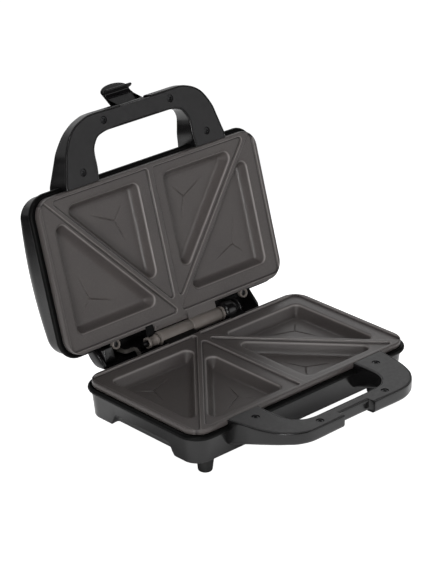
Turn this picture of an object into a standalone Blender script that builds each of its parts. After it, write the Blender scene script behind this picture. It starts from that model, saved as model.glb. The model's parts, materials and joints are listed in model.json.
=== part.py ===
"""Sandwich toaster: two hinged halves, each a housing with a cooking plate and a handle.

Metres, +Z up, +X to the right seen from the front, -Y the front with the handles, +Y the hinge.
Both halves are modelled closed on each other. Each measures height h away from its own plate top,
down in the lower half and up in the upper half. The upper half then turns open about the hinge pin
and the latch turns open about its own pin.
"""
import math

import bmesh
import bpy
from mathutils import Matrix, Vector

# Whole object
PLATE_TOP = 0.0465          # top of the lower plate above the table
CLOSED_GAP = 0.0006         # between the two plates when closed
LID_OPEN = math.radians(107.0)
LATCH_OPEN = math.radians(131.0)
GAP = 0.0003                # between pieces that touch
CORNER_STEPS = 6

# Cooking plates
PLATE_WIDTH = 0.2400
PLATE_DEPTH = 0.1296
PLATE_CORNER = 0.0150
PLATE_EDGE = 0.0008         # rounding of the plate's top edge
SKIRT = {"lower": 0.0050, "upper": 0.0065}
RIM_WIDTH = 0.0030
LAND_DEPTH = 0.0018
LAND_CORNER = 0.0030
DIVIDER_WIDTH = 0.0046
RIDGE_WIDTH = 0.0032
RIDGE_REAR = Vector((0.0051, 0.0528))    # where a diagonal ridge starts beside the hinge
RIDGE_FRONT = Vector((0.1083, -0.0597))  # where it ends in the outer front corner
POCKET_DEPTH = 0.0100
POCKET_CORNER = 0.0060
POCKET_SLOPE = 0.0060       # how far a pocket's floor is inset from its rim
POCKET_TO_RIDGE = 0.0046
POCKET_TO_DIVIDER = 0.0140
POCKET_TO_FRONT = 0.0113
POCKET_TO_REAR = 0.0150
POCKET_TO_SIDE = 0.0143
PLATE_WALL = 0.0024

# Hinge
HINGE_BACK = 0.0111         # behind the plates' rear edges
KNUCKLE_RADIUS = 0.0060
PIN_RADIUS = 0.0022
PIN_CLEARANCE = 0.0003
KNUCKLE_GAP = 0.0004
KNUCKLE_LEFT_END = -0.0450
KNUCKLE_LEFT = -0.0300
KNUCKLE_MIDDLE = 0.0057
KNUCKLE_RIGHT = 0.0390
KNUCKLE_RIGHT_END = 0.0600
WEB_THICKNESS = 0.0036
LUG_X = 0.0722
LUG_BACK = 0.0024           # lug centre behind the rear edge
LUG_RADIUS = 0.0040
LUG_HEIGHT = 0.0042

# Housings
WALL = 0.0026
BEAD_RADIUS = 0.0025
BEAD_OUT = 0.0032           # how far the bead stands out from the plate's edge
BEAD_H = {"lower": 0.0071, "upper": 0.0095}
BASE_DRAFT = 0.0022
BASE_UNDERSIDE = 0.0275     # h of the floor's underside
BASE_FLOOR = 0.0032
BASE_RIM = 0.0305           # h of the walls' bottom edge
BASE_RIM_WIDTH = 0.0036
ARCH_FRONT = -0.0370
ARCH_REAR = 0.0270
ARCH_H = 0.0210
LID_WALL_H = 0.0265         # h where the lid's wall turns into its dome
LID_TOP_H = 0.0411
LID_SHOULDER = 0.0120
LID_ARCH = 0.38             # share by which the dome falls off towards front and rear
DOME_RINGS = 4

# Rear fairing of the lid and rear shelf of the base
FAIRING_HALF_WIDTH = 0.0890
FAIRING_RADIUS = 0.0140
FAIRING_TOP_H = 0.0190
FAIRING_BOTTOM_H = 0.0010
SHELF_HALF_WIDTH = 0.0700
SHELF_BACK = 0.0160         # behind the plates' rear edges
SHELF_TOP_H = 0.0112
INLET_X = 0.0300
INLET_RADIUS = 0.0055
INLET_BORE = 0.0033
INLET_FLANGE = 0.0016

# Handles
HANDLE_REACH = {"lower": 0.0582, "upper": 0.0537}
HANDLE_ROOT = 0.0868        # half width at the plates' front edge
HANDLE_TIP = 0.0790         # half width where the outer corner starts
HANDLE_CORNER = 0.0280
GRIP_WIDTH = 0.0160
OPENING_HALF = 0.0540
OPENING_CORNER = 0.0200
HANDLE_DEPTH = {"lower": 0.0110, "upper": 0.0140}
HANDLE_WALL = 0.0022
ROOT_DEPTH = {"lower": 0.0250, "upper": 0.0240}
ROOT_LENGTH = 0.0250
COVER_THICKNESS = 0.0024
COVER_INSET = 0.0011
SCREW_GRIP_X = 0.0366
SCREW_ROOT_X = 0.0682
SCREW_ROOT_OUT = 0.0113     # root screws in front of the plates' front edge
SCREW_RECESS = 0.0033
SCREW_HEAD = 0.0028
SCREW_HEAD_HEIGHT = 0.0013
SCREW_SHANK = 0.0013
SCREW_LENGTH = 0.0060
BOSS_RADIUS = 0.0034
NOTCH_HALF = 0.0170
NOTCH_DEPTH = 0.0066

# Latch
LATCH_HALF = 0.0134
LATCH_BACK = 0.0035         # latch pin behind the upper handle's outer edge
LATCH_H = 0.0062            # latch pin above the upper plate's face
LATCH_EYE = 0.0028
LATCH_THICKNESS = 0.0028
LATCH_HOOK = 0.0046
LATCH_LIP = 0.0022
LATCH_TAB = 0.0070          # finger tab beyond the hook, at its middle
LATCH_PIN_RADIUS = 0.0012
TAB_STEPS = 10

# Feet
FOOT_FROM_SIDE = {"front": 0.0237, "rear": 0.0650}
FOOT_FROM_EDGE = {"front": -0.0148, "rear": 0.0064}  # outwards of the plates' front or rear edge
FOOT_TOP_RADIUS = 0.0070
FOOT_BOTTOM_RADIUS = 0.0053

# Inside
HEATER_RADIUS = 0.0032
HEATER_HALF_WIDTH = 0.0700
HEATER_FRONT = -0.0330
HEATER_REAR = 0.0340
HEATER_BEND = 0.0140
HEATER_END_X = 0.0150
HEATER_END_INSET = 0.0060   # how far its ends stop short of the plates' rear edge
REFLECTOR_INSET = 0.0085
REFLECTOR_SHEET = 0.0010
SADDLE_X = 0.0500
SADDLE_SIZE = 0.0100
THERMOSTAT_RADIUS = 0.0075
THERMOSTAT_HEIGHT = 0.0080
THERMOSTAT_Y = -0.0250
FUSE_RADIUS = 0.0020
FUSE_LENGTH = 0.0130
FUSE_Y = 0.0100
TERMINAL_SIZE = Vector((0.0260, 0.0080, 0.0080))
TERMINAL_X = -0.0250
LAMP_X = 0.0140
LAMP_Y = -0.0420
LAMP_RADIUS = 0.0030
LENS_RADIUS = 0.0042
LENS_RISE = 0.0010
HARNESS_RADIUS = 0.0018
HARNESS_X = -0.0600
HARNESS_TURN = 0.0060

# Places worked out from the sizes above
HALF_WIDTH = PLATE_WIDTH / 2
HALF_DEPTH = PLATE_DEPTH / 2
HINGE_Y = HALF_DEPTH + HINGE_BACK
HINGE_Z = PLATE_TOP + CLOSED_GAP / 2
DATUM = {"lower": PLATE_TOP, "upper": PLATE_TOP + CLOSED_GAP}
SIGN = {"lower": -1, "upper": 1}
POCKET_UNDER_H = LAND_DEPTH + POCKET_DEPTH + PLATE_WALL
HEATER_H = POCKET_UNDER_H + GAP + HEATER_RADIUS
REFLECTOR_H = HEATER_H + HEATER_RADIUS + 2 * GAP
LEDGE_H = {half: SKIRT[half] + GAP for half in SKIRT}


def level(half, h):
    """World height of a place h away from the top of a half's plate."""
    return DATUM[half] + SIGN[half] * h


def collection(name):
    made = bpy.data.collections.new(name)
    bpy.context.scene.collection.children.link(made)
    return made


def empty(name, place, parent=None):
    made = bpy.data.objects.new(name, None)
    made.empty_display_size = 0.02
    PARTS.objects.link(made)
    made.parent = parent
    made.location = Vector(place) - (parent_place(parent) if parent else Vector())
    return made


def parent_place(parent):
    """Closed place of an empty, before anything turns."""
    place = Vector()
    while parent:
        place += parent.location
        parent = parent.parent
    return place


def material(name, colour, roughness, metallic=0.0):
    made = bpy.data.materials.get(name)
    if made is None:
        made = bpy.data.materials.new(name)
        made.use_nodes = True
        shader = made.node_tree.nodes["Principled BSDF"]
        shader.inputs["Base Color"].default_value = (*colour, 1)
        shader.inputs["Roughness"].default_value = roughness
        shader.inputs["Metallic"].default_value = metallic
        made.diffuse_color = (*colour, 1)
    return made


def new_object(name, mesh, parent, surface=None):
    """Links a mesh made in closed world coordinates, with its origin at its parent's."""
    for polygon in mesh.polygons:
        polygon.use_smooth = True
    mesh.set_sharp_from_angle(angle=math.radians(32))
    mesh.transform(Matrix.Translation(-parent_place(parent)))
    made = bpy.data.objects.new(name, mesh)
    made.parent = parent
    if surface:
        made.data.materials.append(surface)
        PARTS.objects.link(made)
    else:
        CUTTERS.objects.link(made)
        made.hide_render = True
        made.display_type = "WIRE"
    return made


def mesh_from(bm, name):
    bmesh.ops.recalc_face_normals(bm, faces=bm.faces)
    mesh = bpy.data.meshes.new(name)
    bm.to_mesh(mesh)
    bm.free()
    return mesh


def loft(rings, name):
    """A closed mesh through rings that have the same number of points each."""
    bm = bmesh.new()
    rows = [[bm.verts.new(point) for point in ring] for ring in rings]
    count = len(rows[0])
    for lower, upper in zip(rows, rows[1:]):
        for i in range(count):
            j = (i + 1) % count
            bm.faces.new((lower[i], lower[j], upper[j], upper[i]))
    bm.faces.new(rows[0])
    bm.faces.new(rows[-1])
    return mesh_from(bm, name)


def box(name, low, high):
    bm = bmesh.new()
    bmesh.ops.create_cube(bm, size=1)
    low = Vector(low)
    high = Vector(high)
    bmesh.ops.scale(bm, vec=high - low, verts=bm.verts)
    bmesh.ops.translate(bm, vec=(low + high) / 2, verts=bm.verts)
    return mesh_from(bm, name)


def cylinder(name, start, end, radius, end_radius=None, sides=24):
    """A cylinder or cone from one point to another."""
    start = Vector(start)
    run = Vector(end) - start
    turn = run.to_track_quat("Z", "Y").to_matrix().to_4x4()
    bm = bmesh.new()
    bmesh.ops.create_cone(
        bm, cap_ends=True, segments=sides, radius1=radius,
        radius2=radius if end_radius is None else end_radius, depth=run.length,
        matrix=Matrix.Translation(start + run / 2) @ turn)
    return mesh_from(bm, name)


def mesh_of_curve(curve, name):
    """The mesh of a curve, with its caps welded on."""
    holder = bpy.data.objects.new(name, curve)
    CUTTERS.objects.link(holder)
    graph = bpy.context.evaluated_depsgraph_get()
    mesh = bpy.data.meshes.new_from_object(holder.evaluated_get(graph))
    bpy.data.objects.remove(holder)
    bm = bmesh.new()
    bm.from_mesh(mesh)
    bmesh.ops.remove_doubles(bm, verts=bm.verts, dist=0.00001)
    return mesh_from(bm, name)


def prism(name, outline, low, high):
    """A flat outline, filled and extruded between two heights."""
    curve = bpy.data.curves.new(name, "CURVE")
    curve.dimensions = "2D"
    curve.fill_mode = "BOTH"
    curve.extrude = abs(high - low) / 2
    spline = curve.splines.new("POLY")
    spline.points.add(len(outline) - 1)
    for point, place in zip(spline.points, outline):
        point.co = (place[0], place[1], 0, 1)
    spline.use_cyclic_u = True
    mesh = mesh_of_curve(curve, name)
    mesh.transform(Matrix.Translation((0, 0, (low + high) / 2)))
    return mesh


def tube(name, points, radius):
    """A round bar along points, with filled ends."""
    curve = bpy.data.curves.new(name, "CURVE")
    curve.dimensions = "3D"
    curve.bevel_depth = radius
    curve.bevel_resolution = 2
    curve.use_fill_caps = True
    spline = curve.splines.new("POLY")
    spline.points.add(len(points) - 1)
    for point, place in zip(spline.points, points):
        point.co = (*place, 1)
    return mesh_of_curve(curve, name)


def combine(target, other, operation):
    change = target.modifiers.new(operation.lower(), "BOOLEAN")
    change.operation = operation
    change.object = other


def cut(target, mesh):
    combine(target, new_object("cut_" + mesh.name, mesh, target.parent), "DIFFERENCE")


def join(target, mesh):
    combine(target, new_object("add_" + mesh.name, mesh, target.parent), "UNION")


def arc(centre, radius, start, end, steps):
    """Points of an arc in a plane, between two angles in degrees."""
    angles = [math.radians(start + (end - start) * i / steps) for i in range(steps + 1)]
    return [Vector((centre[0] + radius * math.cos(a), centre[1] + radius * math.sin(a))) for a in angles]


def rectangle_ring(offset, z, bend=None):
    """The plates' outline, moved outwards by an offset, as a ring at a height."""
    half_x = HALF_WIDTH + offset
    half_y = HALF_DEPTH + offset
    radius = max(PLATE_CORNER + offset, 0.0015)
    ring = []
    for i, (sx, sy) in enumerate(((1, 1), (-1, 1), (-1, -1), (1, -1))):
        centre = (sx * (half_x - radius), sy * (half_y - radius))
        ring += arc(centre, radius, 90 * i, 90 * i + 90, CORNER_STEPS)
    return [Vector((p.x, p.y, z if bend is None else bend(z, p.y))) for p in ring]


def rounded(corners, radius, steps=4):
    """A convex outline with its corners rounded."""
    outline = []
    count = len(corners)
    for i, corner in enumerate(corners):
        back = (corners[i - 1] - corner).normalized()
        ahead = (corners[(i + 1) % count] - corner).normalized()
        half_angle = back.angle(ahead) / 2
        centre = corner + (back + ahead).normalized() * radius / math.sin(half_angle)
        start = corner + back * radius / math.tan(half_angle) - centre
        end = corner + ahead * radius / math.tan(half_angle) - centre
        turn = start.angle_signed(end)
        for step in range(steps + 1):
            outline.append(centre + Matrix.Rotation(-turn * step / steps, 2) @ start)
    return outline


def inset(corners, distance):
    """A convex outline with every side moved inwards."""
    middle = sum(corners, Vector((0, 0))) / len(corners)
    count = len(corners)
    lines = []
    for i in range(count):
        a = corners[i]
        along = (corners[(i + 1) % count] - a).normalized()
        across = Vector((-along.y, along.x))
        if (middle - a).dot(across) < 0:
            across = -across
        lines.append((a + across * distance, along))
    moved = []
    for i in range(count):
        (a, u), (b, v) = lines[i - 1], lines[i]
        reach = (b - a).cross(v) / u.cross(v)
        moved.append(a + u * reach)
    return moved


def mirrored(points):
    return [Vector((-p.x, p.y)) for p in reversed(points)]


def triangle(x, y, offset):
    """A right-angled triangle whose long side runs beside the diagonal ridge."""
    along = (RIDGE_FRONT - RIDGE_REAR).normalized()
    across = Vector((-along.y, along.x))
    start = RIDGE_REAR + across * offset
    on_x = start + along * (x - start.x) / along.x
    on_y = start + along * (y - start.y) / along.y
    return [Vector((x, y)), on_x, on_y]


def plate_triangles():
    """Lands and pockets of one plate, as pairs of corner lists."""
    inner_land = triangle(DIVIDER_WIDTH / 2, RIM_WIDTH - HALF_DEPTH, -RIDGE_WIDTH / 2)
    outer_land = triangle(HALF_WIDTH - RIM_WIDTH, HALF_DEPTH - RIM_WIDTH, RIDGE_WIDTH / 2)
    inner = triangle(POCKET_TO_DIVIDER, POCKET_TO_FRONT - HALF_DEPTH, -POCKET_TO_RIDGE)
    outer = triangle(HALF_WIDTH - POCKET_TO_SIDE, HALF_DEPTH - POCKET_TO_REAR, POCKET_TO_RIDGE)
    pairs = [(inner_land, inner), (outer_land, outer)]
    return pairs + [(mirrored(land), mirrored(pocket)) for land, pocket in pairs]


def pocket_mesh(name, half, corners, wall, top, bottom):
    """A tapering pocket, or with a wall the outside of one."""
    slope = POCKET_SLOPE / POCKET_DEPTH
    rings = []
    for h in (top, bottom):
        distance = (h - LAND_DEPTH) * slope - wall
        radius = max(POCKET_CORNER - distance / 2, 0.001)
        outline = rounded(inset(corners, distance), radius)
        rings.append([Vector((p.x, p.y, level(half, h))) for p in outline])
    return loft(rings, name)


def knuckle_spans(half):
    """The stretches of hinge barrel that belong to a half."""
    spans = {
        "lower": ((KNUCKLE_LEFT, KNUCKLE_MIDDLE), (KNUCKLE_RIGHT, KNUCKLE_RIGHT_END)),
        "upper": ((KNUCKLE_MIDDLE, KNUCKLE_RIGHT), (KNUCKLE_LEFT_END, KNUCKLE_LEFT)),
    }[half]
    return [(start + KNUCKLE_GAP / 2, end - KNUCKLE_GAP / 2) for start, end in spans]


def cooking_plate(half, parent, coating):
    skirt = SKIRT[half]
    rings = [
        rectangle_ring(0, level(half, skirt)),
        rectangle_ring(0, level(half, PLATE_EDGE)),
        rectangle_ring(-PLATE_EDGE, level(half, 0)),
    ]
    plate = new_object(half + "_cooking_plate", loft(rings, half + "_plate"), parent, coating)
    triangles = plate_triangles()
    for i, (land, pocket) in enumerate(triangles):
        outside = pocket_mesh(f"{half}_bowl_{i}", half, pocket, PLATE_WALL, skirt - PLATE_WALL, POCKET_UNDER_H)
        join(plate, outside)
    for i, (start, end) in enumerate(knuckle_spans(half)):
        web_h = sorted((level(half, 0), level(half, WEB_THICKNESS)))
        join(plate, box(f"{half}_web_{i}", (start, HALF_DEPTH - RIM_WIDTH, web_h[0]), (end, HINGE_Y, web_h[1])))
        knuckle = cylinder(f"{half}_knuckle_{i}", (start, HINGE_Y, HINGE_Z), (end, HINGE_Y, HINGE_Z), KNUCKLE_RADIUS)
        join(plate, knuckle)
    for i, (start, end) in enumerate(knuckle_spans("upper" if half == "lower" else "lower")[:1]):
        flange_h = sorted((level(half, 0.0002), level(half, WEB_THICKNESS - 0.0002)))
        join(plate, box(f"{half}_flange_{i}", (start - 0.0010, HALF_DEPTH - RIM_WIDTH / 2, flange_h[0]),
                        (end + 0.0010, HINGE_Y - KNUCKLE_RADIUS - 2 * GAP, flange_h[1])))
    bore = PIN_RADIUS + PIN_CLEARANCE
    ends = (KNUCKLE_LEFT_END - GAP, KNUCKLE_RIGHT_END + GAP)
    cut(plate, cylinder(half + "_bore", (ends[0], HINGE_Y, HINGE_Z), (ends[1], HINGE_Y, HINGE_Z), bore, sides=16))
    for i, (land, pocket) in enumerate(triangles):
        outline = rounded(land, LAND_CORNER)
        span = sorted((level(half, -LAND_DEPTH), level(half, LAND_DEPTH)))
        cut(plate, prism(f"{half}_land_{i}", outline, *span))
        hollow = pocket_mesh(f"{half}_pocket_{i}", half, pocket, 0, LAND_DEPTH / 2, LAND_DEPTH + POCKET_DEPTH)
        cut(plate, hollow)
    if half == "upper":
        for side in (-1, 1):
            place = Vector((side * LUG_X, HALF_DEPTH + LUG_BACK, 0))
            low = place + Vector((0, 0, level(half, 0)))
            high = place + Vector((0, 0, level(half, LUG_HEIGHT)))
            join(plate, cylinder(f"lug_{side}", low, high, LUG_RADIUS))
            cut(plate, cylinder(f"lug_bore_{side}", low - Vector((0, 0, GAP)), high + Vector((0, 0, GAP)),
                                SCREW_SHANK + GAP, sides=16))
    return plate


def bead(half, outwards):
    """The rounded bead of a housing's rim, as offset and h, from the wall up to the ledge."""
    centre = (BEAD_OUT - BEAD_RADIUS, BEAD_H[half])
    points = [(p.x, p.y) for p in arc(centre, BEAD_RADIUS, 80, -80, 6)]
    ledge = [(GAP, LEDGE_H[half]), (-WALL, LEDGE_H[half])]
    return points + ledge if outwards else (points + ledge)[::-1]


def base_housing(parent, plastic):
    half = "lower"
    wall_top = BEAD_H[half] + BEAD_RADIUS
    floor_h = BASE_UNDERSIDE - BASE_FLOOR
    outside = [
        (-BASE_DRAFT - BASE_RIM_WIDTH - 0.0015, BASE_UNDERSIDE),
        (-BASE_DRAFT - BASE_RIM_WIDTH, BASE_RIM),
        (-BASE_DRAFT - 0.0014, BASE_RIM),
        (-BASE_DRAFT, BASE_RIM - 0.0014),
        (0, wall_top + GAP),
    ]
    inside = [
        (-WALL, wall_top),
        (-WALL - BASE_DRAFT / 2, (wall_top + floor_h) / 2),
        (-WALL - BASE_DRAFT - 0.0060, floor_h),
    ]
    rings = [rectangle_ring(d, level(half, h)) for d, h in outside + bead(half, True) + inside]
    housing = new_object("base_housing", loft(rings, "base"), parent, plastic)

    low, high = level(half, BASE_UNDERSIDE), level(half, SHELF_TOP_H)
    back = HALF_DEPTH + SHELF_BACK
    join(housing, box("shelf", (-SHELF_HALF_WIDTH, HALF_DEPTH - 0.0040, low), (SHELF_HALF_WIDTH, back, high)))
    hollow_low = (WALL - SHELF_HALF_WIDTH, HALF_DEPTH - 0.0120, level(half, floor_h))
    hollow_high = (SHELF_HALF_WIDTH - WALL, back - WALL, high - WALL)
    cut(housing, box("shelf_hollow", hollow_low, hollow_high))
    hole_x = HARNESS_X + HARNESS_TURN
    cut(housing, box("harness_hole", (hole_x - 0.0050, HALF_DEPTH + 0.0040, high - 2 * WALL),
                     (hole_x + 0.0050, HINGE_Y + 0.0022, high + WALL)))
    inlet_z = level(half, (floor_h + SHELF_TOP_H) / 2 + WALL / 2)
    cut(housing, cylinder("inlet_hole", (INLET_X, back - 2 * WALL, inlet_z), (INLET_X, back + WALL, inlet_z),
                          INLET_RADIUS))

    for side in (-1, 1):
        x = side * (HALF_WIDTH + 0.0010)
        inner = side * (HALF_WIDTH - BASE_DRAFT - 0.0062)
        top = level(half, ARCH_H)
        lip = level(half, BASE_UNDERSIDE)
        foot = level(half, BASE_RIM)
        rings = []
        for y, share in ((ARCH_FRONT, 1), (ARCH_FRONT + 0.0030, 0.35), (ARCH_FRONT + 0.0080, 0),
                         (ARCH_REAR - 0.0100, 0), (ARCH_REAR - 0.0030, 0.35), (ARCH_REAR, 1)):
            roof = top + (foot - 0.0010 - top) * share
            ridge = min(lip, roof)
            rings.append([Vector((x, y, foot - 0.0040)), Vector((x, y, roof)),
                          Vector((inner, y, ridge)), Vector((inner, y, foot - 0.0040))])
        cut(housing, loft(rings, f"arch_{side}"))
        root = (OPENING_HALF - GAP, HANDLE_ROOT + 0.0022)
        span = sorted((side * root[0], side * root[1]))
        cut(housing, box(f"root_seat_{side}", (span[0], -HALF_DEPTH - 0.0100, level(half, wall_top + 0.0006)),
                         (span[1], -HALF_DEPTH - GAP, level(half, SKIRT[half] - 0.0010))))
    for x, y in reflector_posts():
        join(housing, cylinder(f"post_{x:.3f}_{y:.3f}", (x, y, level(half, floor_h + 0.0010)),
                               (x, y, level(half, REFLECTOR_H + REFLECTOR_SHEET + GAP)), 0.0040, 0.0034, 16))
    return housing


def reflector_posts():
    return [(sx * 0.0850, sy * 0.0300) for sx in (-1, 1) for sy in (-1, 1)]


def dome(z, y):
    """Lets the lid's dome fall off towards the front and the rear."""
    foot = level("upper", BEAD_H["upper"] + BEAD_RADIUS)
    return foot + (z - foot) * (1 - LID_ARCH * (y / HALF_DEPTH) ** 2) if z > foot else z


def lid_profile(thickness):
    """Offset and h of the lid's wall, shoulder and dome, from the bead to the middle."""
    points = [(-0.0004 - thickness, LID_WALL_H)]
    turn = arc((-0.0004 - LID_SHOULDER, LID_WALL_H), LID_SHOULDER - thickness, 0, 75, 5)
    points += [(p.x, p.y * (LID_TOP_H - 0.0025) / (LID_WALL_H + LID_SHOULDER)) for p in turn[1:]]
    edge, height = points[-1]
    middle = -HALF_DEPTH + 0.0060
    top = LID_TOP_H - thickness
    for i in range(1, DOME_RINGS + 1):
        share = i / DOME_RINGS
        points.append((edge + (middle - edge) * share, height + (top - height) * (1 - (1 - share) ** 2)))
    return points


def lid_housing(parent, plastic):
    half = "upper"
    wall_top = BEAD_H[half] + BEAD_RADIUS
    outer = [(d, h) for d, h in reversed(lid_profile(0))] + [(0, wall_top + GAP)]
    inner = [(-WALL, wall_top)] + lid_profile(WALL)
    rings = [rectangle_ring(d, level(half, h), dome) for d, h in outer + bead(half, True) + inner]
    housing = new_object("lid_housing", loft(rings, "lid"), parent, plastic)

    outline = fairing_outline(0)
    join(housing, fairing_mesh("fairing", outline, FAIRING_HALF_WIDTH))
    cut(housing, fairing_mesh("fairing_hollow", fairing_outline(WALL), FAIRING_HALF_WIDTH - WALL))
    cut(housing, cylinder("barrel_room", (KNUCKLE_LEFT_END - 2 * GAP, HINGE_Y, HINGE_Z),
                          (KNUCKLE_RIGHT_END + 2 * GAP, HINGE_Y, HINGE_Z), KNUCKLE_RADIUS + 2 * GAP))
    for side in (-1, 1):
        place = Vector((side * LUG_X, HALF_DEPTH + LUG_BACK, 0))
        low = level(half, LUG_HEIGHT + GAP)
        join(housing, cylinder(f"lug_post_{side}", place + Vector((0, 0, low)),
                               place + Vector((0, 0, level(half, FAIRING_TOP_H - 0.0020))), LUG_RADIUS))
        cut(housing, cylinder(f"lug_room_{side}", place + Vector((0, 0, level(half, -0.0010))),
                              place + Vector((0, 0, low)), LUG_RADIUS + 2 * GAP))
        cut(housing, box(f"lug_relief_{side}", place + Vector((-0.0050, -LUG_RADIUS - LUG_BACK, level(half, 0))),
                         place + Vector((0.0050, GAP - LUG_BACK, level(half, LEDGE_H[half] + 0.0002)))))
        cut(housing, cylinder(f"lug_post_bore_{side}", place + Vector((0, 0, level(half, 0))),
                              place + Vector((0, 0, level(half, SCREW_LENGTH + 0.0020))), SCREW_SHANK + GAP,
                              sides=16))
        root = (OPENING_HALF - GAP, HANDLE_ROOT + 0.0022)
        span = sorted((side * root[0], side * root[1]))
        cut(housing, box(f"lid_root_seat_{side}", (span[0], -HALF_DEPTH - 0.0100, level(half, SKIRT[half] - 0.0010)),
                         (span[1], -HALF_DEPTH - GAP, level(half, wall_top + 0.0006))))
        lamp = Vector((side * LAMP_X, LAMP_Y, 0))
        cut(housing, cylinder(f"lens_hole_{side}", lamp + Vector((0, 0, level(half, LID_WALL_H - 0.0060))),
                              lamp + Vector((0, 0, level(half, LID_TOP_H + 0.0100))), LENS_RADIUS + GAP, sides=20))
    for x, y in reflector_posts():
        join(housing, cylinder(f"lid_post_{x:.3f}_{y:.3f}",
                               (x, y, level(half, REFLECTOR_H + REFLECTOR_SHEET + GAP)),
                               (x, y, dome(level(half, LID_TOP_H - 0.0022), y)), 0.0034, 0.0040, 16))
    return housing


def fairing_outline(thickness):
    """The lid's rounded rear fairing in Y and h, closed over the rear wall."""
    radius = FAIRING_RADIUS - thickness
    back = HALF_DEPTH + HINGE_BACK + KNUCKLE_RADIUS + 0.0016
    centre = (back - FAIRING_RADIUS, FAIRING_TOP_H - FAIRING_RADIUS)
    points = arc(centre, radius, 0, 90, 6)
    bottom = FAIRING_BOTTOM_H - thickness * 2
    outline = [Vector((back - thickness, bottom))] + points
    if thickness:
        front = HALF_DEPTH + GAP
        return outline + [Vector((front, FAIRING_TOP_H - thickness)), Vector((front, bottom))]
    front = HALF_DEPTH - 0.0010
    return outline + [Vector((front, FAIRING_TOP_H)), Vector((front, BEAD_H["upper"] + BEAD_RADIUS / 2)),
                      Vector((back - 1.5 * WALL, bottom))]


def fairing_mesh(name, outline, half_width):
    rings = [[Vector((x, p.x, level("upper", p.y))) for p in outline] for x in (-half_width, half_width)]
    return loft(rings, name)


def handle_outline(half, grow=0.0):
    """Half of the handle's outer outline, from root to middle of the front, and of its opening."""
    edge = -HALF_DEPTH
    front = edge - HANDLE_REACH[half] - grow
    tip = HANDLE_TIP + grow
    corner = HANDLE_CORNER + grow
    outer = [Vector((HANDLE_ROOT + grow, edge - 0.0030))]
    outer += arc((tip - corner, front + corner), corner, 8, -90, 9)
    inner_front = edge - HANDLE_REACH[half] + GRIP_WIDTH + grow
    half_opening = OPENING_HALF - grow
    radius = OPENING_CORNER - grow
    inner = arc((half_opening - radius, inner_front + radius), radius, -90, 0, 7)
    inner.append(Vector((half_opening, edge - 0.0030)))
    return outer, inner


def handle_shape(half, grow, root_y):
    """The handle's closed outline, an arch that stands on two roots."""
    outer, inner = handle_outline(half, grow)
    side = outer[1] - outer[0]
    outer[0] += side * (root_y - outer[0].y) / side.y
    inner[-1].y = root_y
    return outer + mirrored(outer) + mirrored(inner) + inner


def screw_places(half):
    front = -HALF_DEPTH - HANDLE_REACH[half] + GRIP_WIDTH / 2
    root = -HALF_DEPTH - SCREW_ROOT_OUT
    places = [(SCREW_GRIP_X, front), (SCREW_ROOT_X, root)]
    return [(side * x, y) for side in (-1, 1) for x, y in places]


def root_wedge(half, side):
    """The deep foot of a handle that meets the housing's wall."""
    depth = ROOT_DEPTH[half]
    start = -HALF_DEPTH - 0.0010
    wall_foot = start + (BASE_DRAFT if half == "lower" else 0) * 0.8
    outline = [(start, HANDLE_DEPTH[half] - 0.0040), (wall_foot, depth)]
    for i in range(1, 6):
        share = i / 5
        y = wall_foot - ROOT_LENGTH * share
        outline.append((y, HANDLE_DEPTH[half] - 0.0012 + (depth - HANDLE_DEPTH[half]) * (1 - share) ** 2.2))
    outline.append((start - ROOT_LENGTH, HANDLE_DEPTH[half] - 0.0040))
    root, tip = handle_outline(half, -0.0006)[0][:2]
    slope = (tip.x - root.x) / (tip.y - root.y)
    inner = [Vector((side * (OPENING_HALF + HANDLE_WALL / 2), y, level(half, h))) for y, h in outline]
    outer = [Vector((side * (root.x + (y - root.y) * slope), y, level(half, h))) for y, h in outline]
    return loft([inner, outer], f"{half}_root_{side}")


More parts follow.
